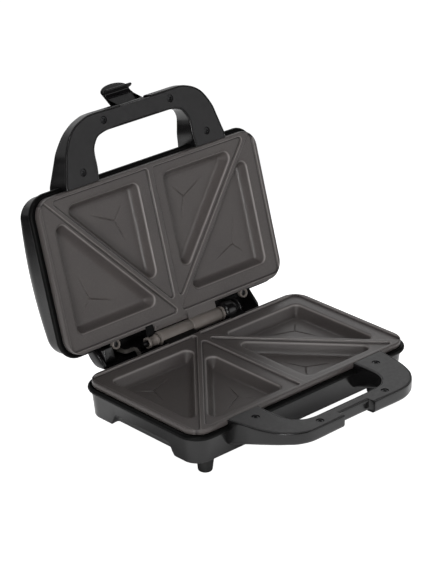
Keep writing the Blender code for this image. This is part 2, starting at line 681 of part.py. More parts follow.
def handle_shell(half, parent, plastic):
    rear = -HALF_DEPTH - 2 * GAP
    low, high = sorted((level(half, HANDLE_DEPTH[half]), level(half, 0.0004)))
    shell_mesh = prism(half + "_handle", handle_shape(half, 0, rear), low, high)
    shell = new_object(half + "_handle_shell", shell_mesh, parent, plastic)
    for side in (-1, 1):
        join(shell, root_wedge(half, side))
    span = sorted((level(half, -0.0010), level(half, HANDLE_DEPTH[half] - HANDLE_WALL)))
    cut(shell, prism(half + "_handle_hollow", handle_shape(half, -HANDLE_WALL, rear - HANDLE_WALL), *span))
    span = sorted((level(half, -0.0010), level(half, COVER_THICKNESS + GAP)))
    cut(shell, prism(half + "_cover_seat", handle_shape(half, GAP - COVER_INSET, rear + 0.0020), *span))
    for i, (x, y) in enumerate(screw_places(half)):
        foot = level(half, HANDLE_DEPTH[half] - HANDLE_WALL / 2)
        join(shell, cylinder(f"{half}_boss_{i}", (x, y, foot), (x, y, level(half, COVER_THICKNESS + GAP)),
                             BOSS_RADIUS, sides=16))
        cut(shell, cylinder(f"{half}_boss_bore_{i}", (x, y, level(half, 0)),
                            (x, y, level(half, SCREW_LENGTH + SCREW_HEAD_HEIGHT + 0.0010)), SCREW_SHANK + GAP, sides=12))
    front = -HALF_DEPTH - HANDLE_REACH[half]
    if half == "lower":
        span = (level(half, HANDLE_DEPTH[half] + 0.0010), level(half, -0.0010))
        back = front + NOTCH_DEPTH
        join(shell, box("catch_wall", (-NOTCH_HALF - HANDLE_WALL, front + 0.0010, level(half, HANDLE_DEPTH[half])),
                        (NOTCH_HALF + HANDLE_WALL, back + HANDLE_WALL, level(half, COVER_THICKNESS + GAP))))
    else:
        span = (level(half, COVER_THICKNESS + 2 * GAP), level(half, HANDLE_DEPTH[half] + 0.0010))
        back = front + LATCH_BACK + LATCH_EYE + 4 * GAP
        join(shell, box("latch_wall", (-NOTCH_HALF - HANDLE_WALL, front + 0.0010, level(half, COVER_THICKNESS + GAP)),
                        (NOTCH_HALF + HANDLE_WALL, back + HANDLE_WALL, level(half, HANDLE_DEPTH[half]))))
    cut(shell, box(half + "_notch", (-NOTCH_HALF, front - 0.0010, span[0]), (NOTCH_HALF, back, span[1])))
    if half == "upper":
        y, z = latch_axis()
        reach = NOTCH_HALF + HANDLE_WALL + 0.0010
        cut(shell, cylinder("latch_pin_bore", (-reach, y, z), (reach, y, z), LATCH_PIN_RADIUS + GAP, sides=16))
    return shell


def handle_cover(half, parent, plastic):
    rear = -HALF_DEPTH - 3 * GAP
    low, high = sorted((level(half, 0), level(half, COVER_THICKNESS)))
    cover = new_object(half + "_handle_cover", prism(half + "_cover", handle_shape(half, -COVER_INSET, rear), low, high),
                       parent, plastic)
    for i, (x, y) in enumerate(screw_places(half)):
        head_h = SCREW_HEAD_HEIGHT + 0.0002
        cut(cover, cylinder(f"{half}_recess_{i}", (x, y, level(half, -0.0010)), (x, y, level(half, head_h)),
                            SCREW_RECESS, sides=20))
        cut(cover, cylinder(f"{half}_cover_hole_{i}", (x, y, level(half, 0)), (x, y, level(half, 0.0040)),
                            SCREW_SHANK + GAP, sides=12))
    if half == "lower":
        front = -HALF_DEPTH - HANDLE_REACH[half]
        cut(cover, box("cover_notch", (-NOTCH_HALF, front - 0.0010, level(half, 0.0040)),
                       (NOTCH_HALF, front + NOTCH_DEPTH, level(half, -0.0010))))
    return cover


def screw(name, place, direction, parent, steel):
    """A pan-head screw turned as one profile; direction is the way its shank points along Z."""
    x, y, z = place
    top = z
    under = z + direction * SCREW_HEAD_HEIGHT
    tip = under + direction * SCREW_LENGTH
    head = cylinder(name, (x, y, top), (x, y, under), SCREW_HEAD * 0.8, SCREW_HEAD, 16)
    made = new_object(name, head, parent, steel)
    join(made, cylinder(name + "_shank", (x, y, under - direction * 0.0004), (x, y, tip), SCREW_SHANK, sides=12))
    return made


def latch_axis():
    y = -HALF_DEPTH - HANDLE_REACH["upper"] + LATCH_BACK
    return y, level("upper", LATCH_H)


def latch_mesh():
    """The latch closed: an eye on the pin, a stem down over both handles, a hook under the lower one and a
    rounded finger tab below the hook."""
    y, z = latch_axis()
    inner = -HALF_DEPTH - HANDLE_REACH["upper"] - 2 * GAP
    outer = inner - LATCH_THICKNESS
    hook_top = level("lower", HANDLE_DEPTH["lower"] + 2 * GAP)
    hook_foot = hook_top - LATCH_LIP
    eye = arc((y, z), LATCH_EYE, -120, 100, 12)
    rings = []
    for i in range(TAB_STEPS + 1):
        across = 2 * i / TAB_STEPS - 1
        tip = hook_foot - 0.0018 - (LATCH_TAB - 0.0018) * math.sqrt(1 - across ** 2)
        outline = [Vector((outer, tip)), Vector((inner, tip)), Vector((inner, hook_foot))]
        outline += [Vector((inner + LATCH_HOOK, hook_foot + 0.0005)), Vector((inner + LATCH_HOOK, hook_top - 0.0005)),
                    Vector((inner + 0.0010, hook_top)), Vector((inner, hook_top + 0.0008))]
        outline += [Vector((inner, z - LATCH_EYE - 0.0004))] + eye
        outline += [Vector((y - 0.0033, z + 0.0021)), Vector((y - 0.0050, z + 0.0007)), Vector((outer, z - 0.0016))]
        rings.append([Vector((across * LATCH_HALF, p.x, p.y)) for p in outline])
    return loft(rings, "latch")


def heater_points(half):
    """The bent heating tube under the pockets, open at the rear."""
    end = HALF_DEPTH - HEATER_END_INSET
    corners = [(-HEATER_END_X, end), (-HEATER_END_X, HEATER_REAR), (-HEATER_HALF_WIDTH, HEATER_REAR),
               (-HEATER_HALF_WIDTH, HEATER_FRONT), (HEATER_HALF_WIDTH, HEATER_FRONT),
               (HEATER_HALF_WIDTH, HEATER_REAR), (HEATER_END_X, HEATER_REAR), (HEATER_END_X, end)]
    corners = [Vector(c) for c in corners]
    path = [corners[0]]
    for before, corner, after in zip(corners, corners[1:], corners[2:]):
        back = (before - corner).normalized()
        ahead = (after - corner).normalized()
        centre = corner + (back + ahead) * HEATER_BEND
        for step in range(6):
            turn = math.radians(90) * step / 5
            path.append(centre - ahead * HEATER_BEND * math.cos(turn) - back * HEATER_BEND * math.sin(turn))
    path.append(corners[-1])
    z = level(half, HEATER_H)
    return [(p.x, p.y, z) for p in path]


def heating(half, parent, tube_steel, sheet_steel, ceramic):
    """Heating tube, reflector tray and the two saddles between them."""
    new_object(half + "_heating_element", tube(half + "_heater", heater_points(half), HEATER_RADIUS), parent,
               tube_steel)
    top = LEDGE_H[half]
    sheet = REFLECTOR_SHEET
    d = -REFLECTOR_INSET
    profile = [(d - 0.0020, REFLECTOR_H + sheet), (d, REFLECTOR_H - 0.0010), (d, top),
               (d - sheet, top), (d - sheet, REFLECTOR_H - 0.0010), (d - sheet - 0.0016, REFLECTOR_H)]
    rings = [rectangle_ring(offset, level(half, h)) for offset, h in profile]
    reflector = new_object(half + "_reflector", loft(rings, half + "_tray"), parent, sheet_steel)
    z = level(half, HEATER_H)
    for side in (-1, 1):
        start = (side * HEATER_END_X, HEATER_REAR + HEATER_BEND, z)
        end = (side * HEATER_END_X, HALF_DEPTH + 0.0100, z)
        cut(reflector, cylinder(f"{half}_heater_hole_{side}", start, end, HEATER_RADIUS + GAP))
        place = (side * SADDLE_X, HEATER_FRONT, 0)
        low, high = sorted((level(half, HEATER_H - 0.0006), level(half, REFLECTOR_H - GAP)))
        size = SADDLE_SIZE / 2
        block = box(f"{half}_saddle_{side}", (place[0] - size, place[1] - size, low), (place[0] + size, place[1] + size, high))
        name = "left" if side < 0 else "right"
        saddle = new_object(f"{half}_heater_saddle_{name}", block, parent, ceramic)
        cut(saddle, cylinder(f"{half}_groove_{side}", (place[0] - SADDLE_SIZE, place[1], z),
                             (place[0] + SADDLE_SIZE, place[1], z), HEATER_RADIUS + GAP / 2, sides=16))


def plate_controls(half, parent, steel, ceramic):
    """Thermostat in the base and thermal fuse in each half, against the underside of the plate."""
    under = SKIRT[half] + GAP
    if half == "lower":
        low, high = sorted((level(half, under), level(half, under + THERMOSTAT_HEIGHT)))
        new_object("thermostat", cylinder("thermostat_can", (0, THERMOSTAT_Y, low), (0, THERMOSTAT_Y, high),
                                          THERMOSTAT_RADIUS), parent, steel)
    z = level(half, under + FUSE_RADIUS)
    new_object(half + "_thermal_fuse", cylinder(half + "_fuse", (0, FUSE_Y - FUSE_LENGTH / 2, z),
                                                (0, FUSE_Y + FUSE_LENGTH / 2, z), FUSE_RADIUS, sides=16), parent, ceramic)


def feet(parent, rubber):
    top = level("lower", BASE_UNDERSIDE) - GAP
    for row in ("front", "rear"):
        for side, name in ((-1, "left"), (1, "right")):
            x = side * (HALF_WIDTH - FOOT_FROM_SIDE[row])
            y = (1 if row == "rear" else -1) * (HALF_DEPTH + FOOT_FROM_EDGE[row])
            edge = 0.0012
            stem = cylinder(f"foot_{row}_{name}", (x, y, edge), (x, y, top), FOOT_BOTTOM_RADIUS, FOOT_TOP_RADIUS)
            foot = new_object(f"foot_{row}_{name}", stem, parent, rubber)
            join(foot, cylinder(f"sole_{row}_{name}", (x, y, 0), (x, y, edge + 0.0001),
                                FOOT_BOTTOM_RADIUS - edge, FOOT_BOTTOM_RADIUS + 0.00005))


def base_fittings(parent, plastic, brass, sleeve):
    """Cord inlet gland, terminal block and the fixed half of the lead to the lid."""
    floor = level("lower", BASE_UNDERSIDE - BASE_FLOOR)
    shelf_top = level("lower", SHELF_TOP_H)
    back = HALF_DEPTH + SHELF_BACK
    z = (floor + shelf_top) / 2 - WALL / 2
    gland = new_object("cord_inlet", cylinder("gland", (INLET_X, back - WALL - 0.0010, z),
                                              (INLET_X, back + INLET_FLANGE, z), INLET_RADIUS - GAP), parent, plastic)
    join(gland, cylinder("gland_flange", (INLET_X, back + GAP, z), (INLET_X, back + GAP + INLET_FLANGE, z),
                         INLET_RADIUS + 0.0012))
    cut(gland, cylinder("gland_bore", (INLET_X, back - 0.0100, z), (INLET_X, back + 0.0100, z), INLET_BORE, sides=16))
    size = TERMINAL_SIZE
    y = HALF_DEPTH + SHELF_BACK / 2 - WALL / 2 + 0.0010
    low = Vector((TERMINAL_X - size.x / 2, y - size.y / 2, floor + GAP))
    new_object("terminal_block", box("terminals", low, low + size), parent, brass)
    x = HARNESS_X + HARNESS_TURN
    rise = [(x, HINGE_Y - 0.0045, floor + GAP), (x, HINGE_Y - 0.0045, HINGE_Z - 0.0060),
            (x, HINGE_Y - 0.0028, HINGE_Z - 0.0032), (x - 0.0008, HINGE_Y - 0.0010, HINGE_Z - 0.0010),
            (x - 0.0030, HINGE_Y, HINGE_Z), (HARNESS_X, HINGE_Y, HINGE_Z)]
    new_object("base_lead_sleeve", tube("base_lead", rise, HARNESS_RADIUS), parent, sleeve)


def lid_fittings(parent, glass, sleeve, ceramic):
    """Indicator lenses and lamps, and the turning half of the lead."""
    half = "upper"
    for side, colour in ((-1, "red"), (1, "green")):
        x = side * LAMP_X
        top = dome(level(half, LID_TOP_H - 0.0008), LAMP_Y)
        lens = new_object(f"indicator_lens_{colour}", cylinder(f"lens_{colour}", (x, LAMP_Y, top - 0.0060),
                          (x, LAMP_Y, top + LENS_RISE), LENS_RADIUS, LENS_RADIUS - 0.0006), parent, glass[colour])
        cut(lens, cylinder(f"lens_room_{colour}", (x, LAMP_Y, top - 0.0100), (x, LAMP_Y, top - 0.0020),
                           LAMP_RADIUS + GAP, sides=16))
        foot = level(half, REFLECTOR_H + REFLECTOR_SHEET + GAP)
        new_object(f"indicator_lamp_{colour}", cylinder(f"lamp_{colour}", (x, LAMP_Y, foot),
                   (x, LAMP_Y, top - 0.0020 - GAP), LAMP_RADIUS, sides=16), parent, ceramic)
    x = HARNESS_X - GAP
    inner = HALF_DEPTH + LUG_BACK + LUG_RADIUS + 0.0030
    rise = [(x, HINGE_Y, HINGE_Z), (x - 0.0030, HINGE_Y, HINGE_Z), (x - 0.0045, HINGE_Y, HINGE_Z + 0.0020),
            (x - 0.0045, inner, level(half, FAIRING_TOP_H - 1.5 * WALL - HARNESS_RADIUS))]
    new_object("lid_lead_sleeve", tube("lid_lead", rise, HARNESS_RADIUS), parent, sleeve)


def stand_on_origin(root):
    """Moves the whole object so that the middle of its box's bottom is the origin."""
    bpy.context.view_layer.update()
    graph = bpy.context.evaluated_depsgraph_get()
    corners = []
    for part in PARTS.objects:
        if part.type == "MESH":
            shape = part.evaluated_get(graph)
            corners += [shape.matrix_world @ vertex.co for vertex in shape.data.vertices]
    low = Vector([min(c[i] for c in corners) for i in range(3)])
    high = Vector([max(c[i] for c in corners) for i in range(3)])
    root.location -= Vector(((low.x + high.x) / 2, (low.y + high.y) / 2, low.z))


def build():
    black = material("black_plastic", (0.020, 0.020, 0.021), 0.25)
    dark = material("dark_grey_plastic", (0.045, 0.044, 0.045), 0.55)
    coating = material("non_stick_coating", (0.060, 0.058, 0.058), 0.42, 0.3)
    steel = material("zinc_plated_steel", (0.45, 0.45, 0.46), 0.35, 1.0)
    heater_steel = material("heater_steel", (0.16, 0.15, 0.14), 0.5, 1.0)
    sheet = material("reflector_aluminium", (0.75, 0.75, 0.76), 0.3, 1.0)
    ceramic = material("ceramic", (0.80, 0.77, 0.70), 0.6)
    rubber = material("foot_rubber", (0.035, 0.035, 0.035), 0.75)
    screw_black = material("blackened_steel", (0.05, 0.05, 0.05), 0.35, 1.0)
    terminal = material("terminal_plastic", (0.70, 0.70, 0.66), 0.5)
    sleeve = material("glass_fibre_sleeve", (0.60, 0.58, 0.52), 0.8)
    glass = {"red": material("red_lens", (0.50, 0.02, 0.01), 0.15),
             "green": material("green_lens", (0.02, 0.30, 0.04), 0.15)}

    root = empty("sandwich_toaster", (0, 0, 0))
    lid = empty("lid_hinge", (0, HINGE_Y, HINGE_Z), root)
    latch_y, latch_z = latch_axis()
    latch_pivot = empty("latch_pivot", (0, latch_y, latch_z), lid)

    base_housing(root, black)
    lid_housing(lid, black)
    feet(root, rubber)
    base_fittings(root, dark, terminal, sleeve)
    lid_fittings(lid, glass, sleeve, ceramic)
    for half, parent in (("lower", root), ("upper", lid)):
        cooking_plate(half, parent, coating)
        heating(half, parent, heater_steel, sheet, ceramic)
        plate_controls(half, parent, steel, ceramic)
        handle_shell(half, parent, black)
        handle_cover(half, parent, dark)
        for i, (x, y) in enumerate(screw_places(half), 1):
            screw(f"{half}_handle_screw_{i}", (x, y, level(half, 0.0002)), SIGN[half], parent, screw_black)
    for side, name in ((-1, "left"), (1, "right")):
        place = (side * LUG_X, HALF_DEPTH + LUG_BACK, level("upper", -SCREW_HEAD_HEIGHT - GAP))
        screw(f"upper_plate_screw_{name}", place, 1, lid, steel)

    pin_ends = (KNUCKLE_LEFT_END - 0.0020, KNUCKLE_RIGHT_END + 0.0020)
    new_object("hinge_pin", cylinder("pin", (pin_ends[0], HINGE_Y, HINGE_Z), (pin_ends[1], HINGE_Y, HINGE_Z),
                                     PIN_RADIUS, sides=16), root, steel)
    latch = new_object("latch", latch_mesh(), latch_pivot, black)
    cut(latch, cylinder("latch_bore", (-0.0200, latch_y, latch_z), (0.0200, latch_y, latch_z),
                        LATCH_PIN_RADIUS + GAP, sides=16))
    reach = NOTCH_HALF + HANDLE_WALL - GAP
    new_object("latch_pin", cylinder("pin_of_latch", (-reach, latch_y, latch_z), (reach, latch_y, latch_z),
                                     LATCH_PIN_RADIUS, sides=16), lid, steel)

    lid.rotation_euler.x = -LID_OPEN
    latch_pivot.rotation_euler.x = -LATCH_OPEN
    stand_on_origin(root)


for old in list(bpy.data.objects):
    bpy.data.objects.remove(old)
CUTTERS = collection("cutters")
PARTS = collection("sandwich_toaster")
build()
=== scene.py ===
# %% [markdown]
# # A two-slice sandwich toaster, standing open
#
# The machine has two hinged halves. Each half is a black moulded housing that holds a die-cast
# cooking plate, with a looped handle in front. The mechanical model is loaded first and stays as it
# is. This lesson then makes the surfaces that are seen as smooth shapes computed with numpy, gives
# every piece its finish, and sets up the light and the camera.

# %% Load the mechanical model and keep its size
import json
import math

import bmesh
import bpy
import numpy as np
from mathutils import Matrix, Vector


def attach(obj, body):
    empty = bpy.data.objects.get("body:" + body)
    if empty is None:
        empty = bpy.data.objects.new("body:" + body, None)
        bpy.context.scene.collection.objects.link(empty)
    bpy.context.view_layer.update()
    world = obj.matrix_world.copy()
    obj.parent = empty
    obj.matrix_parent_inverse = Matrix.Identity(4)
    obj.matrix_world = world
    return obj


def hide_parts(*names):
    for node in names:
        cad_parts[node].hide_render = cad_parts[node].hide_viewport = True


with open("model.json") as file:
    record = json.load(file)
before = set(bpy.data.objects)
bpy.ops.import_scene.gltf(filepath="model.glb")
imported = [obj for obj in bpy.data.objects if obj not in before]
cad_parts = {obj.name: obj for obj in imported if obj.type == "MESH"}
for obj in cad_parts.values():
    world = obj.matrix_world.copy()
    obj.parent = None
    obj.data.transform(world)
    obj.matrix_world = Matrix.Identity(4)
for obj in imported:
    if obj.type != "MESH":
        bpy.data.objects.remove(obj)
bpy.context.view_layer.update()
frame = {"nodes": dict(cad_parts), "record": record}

# %% [markdown]
# ## Where things are
#
# All shapes are written in millimetres for the closed toaster: x to the right, y to the back and h
# away from the plate's own top, which is down in the lower half and up in the upper half. One
# function takes such points to metres in the open toaster, by turning the upper half about its hinge
# and the latch about its pin. A point is three numbers at the end of an array of any shape, so whole
# surfaces are placed at once.

# %% Places of the hinge and the latch, and one function that puts points in the open toaster
MM = 0.001
HALF_WIDTH = 120.0
HALF_DEPTH = 64.8
HINGE_BACK = 11.1
LID_OPEN = math.radians(107.0)
LATCH_OPEN = math.radians(131.0)
LATCH_PIN = (-115.0, 6.2)

joints = {joint["name"]: joint for joint in frame["record"]["behaviour"]["joints"]}
hinge = np.array(joints["lid_hinge"]["pos_m"])
plate_top = hinge[2] - 0.3 * MM
middle_y = hinge[1] - (HALF_DEPTH + HINGE_BACK) * MM


def turn_about_x(points, centre, angle):
    """Each point's y and z turned by an angle about a line along x through a centre."""
    y = points[..., 1] - centre[1]
    z = points[..., 2] - centre[2]
    turned = points.copy()
    turned[..., 1] = centre[1] + y * math.cos(angle) - z * math.sin(angle)
    turned[..., 2] = centre[2] + y * math.sin(angle) + z * math.cos(angle)
    return turned


def place(points, half):
    """Closed millimetres to open metres: y moves to the middle of the plates, z is the plate's top
    plus or minus h, and the lid and latch are turned about their axes."""
    points = np.asarray(points, float)
    open_points = points * MM
    open_points[..., 1] += middle_y
    if half == "lower":
        open_points[..., 2] = plate_top - open_points[..., 2]
        return open_points
    open_points[..., 2] += plate_top + 0.6 * MM
    if half == "latch":
        closed_pin = np.array([0, LATCH_PIN[0] * MM + middle_y, plate_top + (0.6 + LATCH_PIN[1]) * MM])
        open_points = turn_about_x(open_points, closed_pin, -LATCH_OPEN)
    return turn_about_x(open_points, hinge, -LID_OPEN)


print("hinge", hinge, "middle of the plates at y", round(middle_y, 4))

# %% [markdown]
# ## From arrays to meshes
#
# A surface here is a grid of points: rows run one way and columns the other. Its faces are the
# squares between neighbours. Several such patches make one piece. Their shared points are merged,
# the faces are turned outwards and edges sharper than a set angle stay crisp.

# %% Make one piece from patches
def grid(rows, wrap=False):
    """Points of shape (rows, columns, 3) and the quads between them; wrap closes the columns."""
    height, width = rows.shape[:2]
    index = np.arange(height * width).reshape(height, width)
    if wrap:
        index = np.hstack([index, index[:, :1]])
    quads = np.stack([index[:-1, :-1], index[1:, :-1], index[1:, 1:], index[:-1, 1:]], -1)
    return rows.reshape(-1, 3), quads.reshape(-1, 4)


def points_of(mesh):
    """A mesh's vertices as an array of (x, y, z)."""
    places = np.empty(len(mesh.vertices) * 3, np.float32)
    mesh.vertices.foreach_get("co", places)
    return places.reshape(-1, 3).astype(float)


def merge(mesh, distance, sliver=None):
    """Merges a mesh's points that lie within a distance, drops edges shorter than a sliver's length and turns
    the faces outwards."""
    work = bmesh.new()
    work.from_mesh(mesh)
    bmesh.ops.remove_doubles(work, verts=work.verts, dist=distance)
    if sliver:
        bmesh.ops.dissolve_degenerate(work, edges=work.edges, dist=sliver)
    bmesh.ops.recalc_face_normals(work, faces=work.faces)
    work.to_mesh(mesh)
    work.free()


def add_object(name, data):
    """An object with its data, linked to the scene."""
    made = bpy.data.objects.new(name, data)
    bpy.context.scene.collection.objects.link(made)
    return made


def make_piece(name, patches, half, body, nodes, finishes, sharp=40):
    """Joins patches into one mesh, places it and hides the mechanical nodes it stands for. A patch is its points,
    its faces and, where the piece has more than one finish, the number of its finish."""
    points, faces, numbers, count = [], [], [], 0
    for patch_points, patch_faces, *number in patches:
        points.append(patch_points)
        faces += [[corner + count for corner in face] for face in patch_faces]
        numbers += [number[0] if number else 0] * len(patch_faces)
        count += len(patch_points)
    mesh = bpy.data.meshes.new(name)
    mesh.from_pydata(place(np.concatenate(points), half).tolist(), [], faces)
    for finish in np.atleast_1d(finishes):
        mesh.materials.append(finish)
    mesh.polygons.foreach_set("material_index", numbers)
    merge(mesh, 0.01 * MM, 0.002 * MM)
    mesh.polygons.foreach_set("use_smooth", np.ones(len(mesh.polygons), bool))
    mesh.set_sharp_from_angle(angle=math.radians(sharp))
    piece = add_object(name, mesh)
    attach(piece, body)
    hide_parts(*nodes)
    print(f"{name}: {len(mesh.polygons)} faces")
    return piece


# %% [markdown]
# ## Finishes
#
# Each finish starts from what the real surface is. Colours are written as the sRGB hex value that a
# paint chart would give and turned to linear light. Patterns read Object coordinates, which are
# metres here, so a grain of 0.5 mm needs a scale of a few thousand.

# %% Helpers for finishes
def linear(hex_colour):
    """The linear colour of an sRGB hex value: below 0.04045 a straight line, above it a power curve."""
    values = [int(hex_colour[i:i + 2], 16) / 255 for i in (1, 3, 5)]
    return [v / 12.92 if v <= 0.04045 else ((v + 0.055) / 1.055) ** 2.4 for v in values] + [1.0]


def node(tree, kind, inputs=None, **settings):
    """Adds one node. A socket's value is a number or colour, or another node's output to link from."""
    made = tree.nodes.new(kind)
    for key, value in settings.items():
        setattr(made, key, value)
    for key, value in (inputs or {}).items():
        if isinstance(value, bpy.types.NodeSocket):
            tree.links.new(value, made.inputs[key])
        else:
            made.inputs[key].default_value = value
    return made


def new_finish(name, **sockets):
    """A new material with its shader's own sockets set; returns it, its tree, shader and coordinates."""
    finish = bpy.data.materials.new(name)
    finish.use_nodes = True
    tree = finish.node_tree
    shader = tree.nodes["Principled BSDF"]
    for key, value in sockets.items():
        shader.inputs[key.replace("_", " ")].default_value = value
    where = node(tree, "ShaderNodeTexCoord").outputs["Object"]
    return finish, tree, shader, where


def spread(tree, where, scale, low, high, detail=3.0):
    """Noise at a scale, brought to the range low to high."""
    noise = node(tree, "ShaderNodeTexNoise", {"Vector": where, "Scale": scale, "Detail": detail})
    ranged = node(tree, "ShaderNodeMapRange", {"Value": noise.outputs["Fac"], "From Min": 0.3, "From Max": 0.7,
                                               "To Min": low, "To Max": high})
    return ranged.outputs["Result"]


def blend_colour(tree, share, first, second):
    """first * (1 - share) + second * share, for two sRGB hex values."""
    mix = node(tree, "ShaderNodeMix", data_type="RGBA")
    tree.links.new(share, mix.inputs["Factor"])
    mix.inputs["A"].default_value = linear(first)
    mix.inputs["B"].default_value = linear(second)
    return mix.outputs["Result"]


def relief(tree, shader, height, distance):
    """Bump of a real depth, in metres."""
    bump = node(tree, "ShaderNodeBump", {"Height": height, "Distance": distance, "Strength": 1.0})
    tree.links.new(bump.outputs["Normal"], shader.inputs["Normal"])


def mottled(name, colours, colour_scale, roughness, rough_scale, **sockets):
    """A finish whose colour wanders between two hex values and whose roughness wanders between two numbers,
    each after a noise of its own scale; returns it with its tree, shader and coordinates."""
    finish, tree, shader, where = new_finish(name, **sockets)
    share = spread(tree, where, colour_scale, 0, 1)
    tree.links.new(blend_colour(tree, share, *colours), shader.inputs["Base Color"])
    tree.links.new(spread(tree, where, rough_scale, *roughness), shader.inputs["Roughness"])
    return finish, tree, shader, where


def mixed(tree, factor, base, hex_colour):
    """A colour socket's value blended towards one sRGB colour by a factor."""
    made = node(tree, "ShaderNodeMix", {"Factor": factor}, data_type="RGBA")
    tree.links.new(base, made.inputs["A"])
    made.inputs["B"].default_value = linear(hex_colour)
    return made.outputs["Result"]


# %% [markdown]
# ### Satin black ABS
#
# The housings, handle shells and latch are injection-moulded ABS from a polished tool. The eye sees
# almost no colour of its own, only soft reflections of the room, broken by a faint ripple where the
# plastic shrank and by the film that hands leave.

# %% Satin black ABS
black_abs, tree, shader, where = mottled("satin_black_abs", ("#111011", "#161516"), 45, (0.20, 0.27), 90,
                                         IOR=1.53, Specular_IOR_Level=0.5)
ripple = node(tree, "ShaderNodeTexNoise", {"Vector": where, "Scale": 120.0, "Detail": 2.0})
relief(tree, shader, ripple.outputs["Fac"], 0.00004)

# %% [markdown]
# ### Painted black shade
#
# The bead round each housing and the webs under the lower barrels get an almost black colour that hardly reflects:
# painted shade that stands for the dark reflections and shadow there, so both plates stand in a black outline.

# %% Painted black shade on the bead and the lower webs
painted_shade_black = mottled("matt_black_elastomer", ("#060606", "#0a0a0a"), 150, (0.42, 0.55), 400,
                    IOR=1.50, Specular_IOR_Level=0.12)[0]

# %% [markdown]
# ### Grained dark grey ABS
#
# The covers of both handles are moulded against an etched tool. The grain is about half a
# millimetre across and breaks the reflection, so they look paler and flatter than the shells.

# %% Grained dark grey ABS
grained_abs, tree, shader, where = mottled("grained_dark_grey_abs", ("#262526", "#2b2a2b"), 60,
                                           (0.44, 0.52), 300, IOR=1.53)
grain = node(tree, "ShaderNodeTexVoronoi", {"Vector": where, "Scale": 1900.0}, feature="SMOOTH_F1")
relief(tree, shader, grain.outputs["Distance"], 0.00005)

# %% [markdown]
# ### Non-stick coating on die-cast aluminium
#
# The plates are cast, blasted and sprayed with a warm dark grey PTFE coating. It has a soft sheen
# with a sprayed texture of about a third of a millimetre, drawn here a little coarser so that it
# shows, and tiny paler flecks.

# %% Non-stick coating
coating, tree, shader, where = new_finish("non_stick_coating", IOR=1.45, Specular_IOR_Level=0.5)
flecks = node(tree, "ShaderNodeTexNoise", {"Vector": where, "Scale": 2600.0, "Detail": 1.0})
# The plates' painted light: above 0 a painted highlight on edges, below 0 painted shade in corners.
wear = node(tree, "ShaderNodeAttribute", attribute_name="wear").outputs["Fac"]
colour = blend_colour(tree, spread(tree, where, 25, 0, 1), "#5b5655", "#625d5b")
# Paler flecks, then a painted highlight on edges, then painted shade in corners.
for value, start, end, most, tint in ((flecks.outputs["Fac"], 0.60, 0.75, 1.0, "#7d7775"),
                                      (wear, 0.15, 1.0, 0.75, "#b0aaa8"), (wear, -0.1, -1.0, 0.75, "#1b1918")):
    share = node(tree, "ShaderNodeMapRange", {"Value": value, "From Min": start, "From Max": end, "To Max": most})
    colour = mixed(tree, share.outputs["Result"], colour, tint)
tree.links.new(colour, shader.inputs["Base Color"])
tree.links.new(spread(tree, where, 700, 0.30, 0.42), shader.inputs["Roughness"])
spray = node(tree, "ShaderNodeTexNoise", {"Vector": where, "Scale": 1600.0, "Detail": 2.0})
relief(tree, shader, spray.outputs["Fac"], 0.00005)

# %% A paler copy of the plates' coating for the barrels, ears and collars: a painted highlight
paler_coating_painted_highlight = mottled("non_stick_coating_on_turned_barrels", ("#7b746f", "#857e79"), 60, (0.30, 0.38), 900,
                         IOR=1.45)[0]

# %% [markdown]
# ### Metals, rubber, ceramic and the small parts
#
# The latch pin is zinc-plated steel; the hinge pin and all screws are blackened. The heating tubes
# are annealed steel that has gone dull brown, the reflectors bright pressed aluminium. Feet are
# moulded rubber. Saddles, fuses and lamps are unglazed ceramic, the lead's sleeves woven glass
# fibre, and the lenses tinted polycarbonate.

# %% Metals
zinc = mottled("zinc_plated_steel", ("#9c9ea0", "#b4b5b6"), 400, (0.26, 0.40), 900, Metallic=1.0)[0]
blackened = mottled("blackened_steel", ("#3a3a3b", "#4a4a4b"), 700, (0.28, 0.42), 1200, Metallic=1.0)[0]
tube_steel = mottled("annealed_heater_steel", ("#544b41", "#6b6358"), 80, (0.45, 0.6), 500, Metallic=1.0)[0]
bright_sheet, tree, shader, where = new_finish("bright_aluminium_sheet", Metallic=1.0)
stretched = node(tree, "ShaderNodeMapping", {"Vector": where, "Scale": (40.0, 2500.0, 2500.0)})
streaks = spread(tree, stretched.outputs["Vector"], 1.0, 0, 1)
tree.links.new(blend_colour(tree, streaks, "#c9cacb", "#dededf"), shader.inputs["Base Color"])
tree.links.new(spread(tree, stretched.outputs["Vector"], 1.0, 0.22, 0.36), shader.inputs["Roughness"])

# %% Rubber, ceramic, sleeve, terminal plastic and lenses
rubber = mottled("moulded_rubber", ("#1c1c1c", "#232323"), 200, (0.50, 0.62), 800, IOR=1.5)[0]
ceramic = mottled("unglazed_ceramic", ("#d8d2c4", "#e6e1d5"), 900, (0.6, 0.75), 1500, IOR=1.5)[0]
terminal = mottled("pale_terminal_plastic", ("#d2d0c6", "#dedcd3"), 300, (0.4, 0.5), 700, IOR=1.5)[0]
sleeve, tree, shader, where = new_finish("woven_glass_fibre_sleeve", IOR=1.5)
weave = node(tree, "ShaderNodeTexWave", {"Vector": where, "Scale": 450.0, "Distortion": 1.0},
             wave_type="BANDS", bands_direction="DIAGONAL")
tree.links.new(blend_colour(tree, weave.outputs["Fac"], "#35322f", "#4a4642"), shader.inputs["Base Color"])
shader.inputs["Roughness"].default_value = 0.8
relief(tree, shader, weave.outputs["Fac"], 0.0002)

lens_colours = {"red_lens": ("#7a0b08", "#96120c"), "green_lens": ("#0c5a1c", "#127026")}
lens_finishes = {name: mottled("tinted_polycarbonate_" + name, colours, 500, (0.10, 0.18), 900,
                               IOR=1.58, Coat_Weight=0.5)[0] for name, colours in lens_colours.items()}

print("finishes:", len(bpy.data.materials))

# %% [markdown]
# ## Rings of a rounded rectangle
#
# Plates, bead, walls and dome all follow the same outline: a rectangle with rounded corners, moved
# in or out. One function gives a whole stack of such rings at once. A profile, written as pairs of
# offset and h, becomes a surface when each pair has its ring.

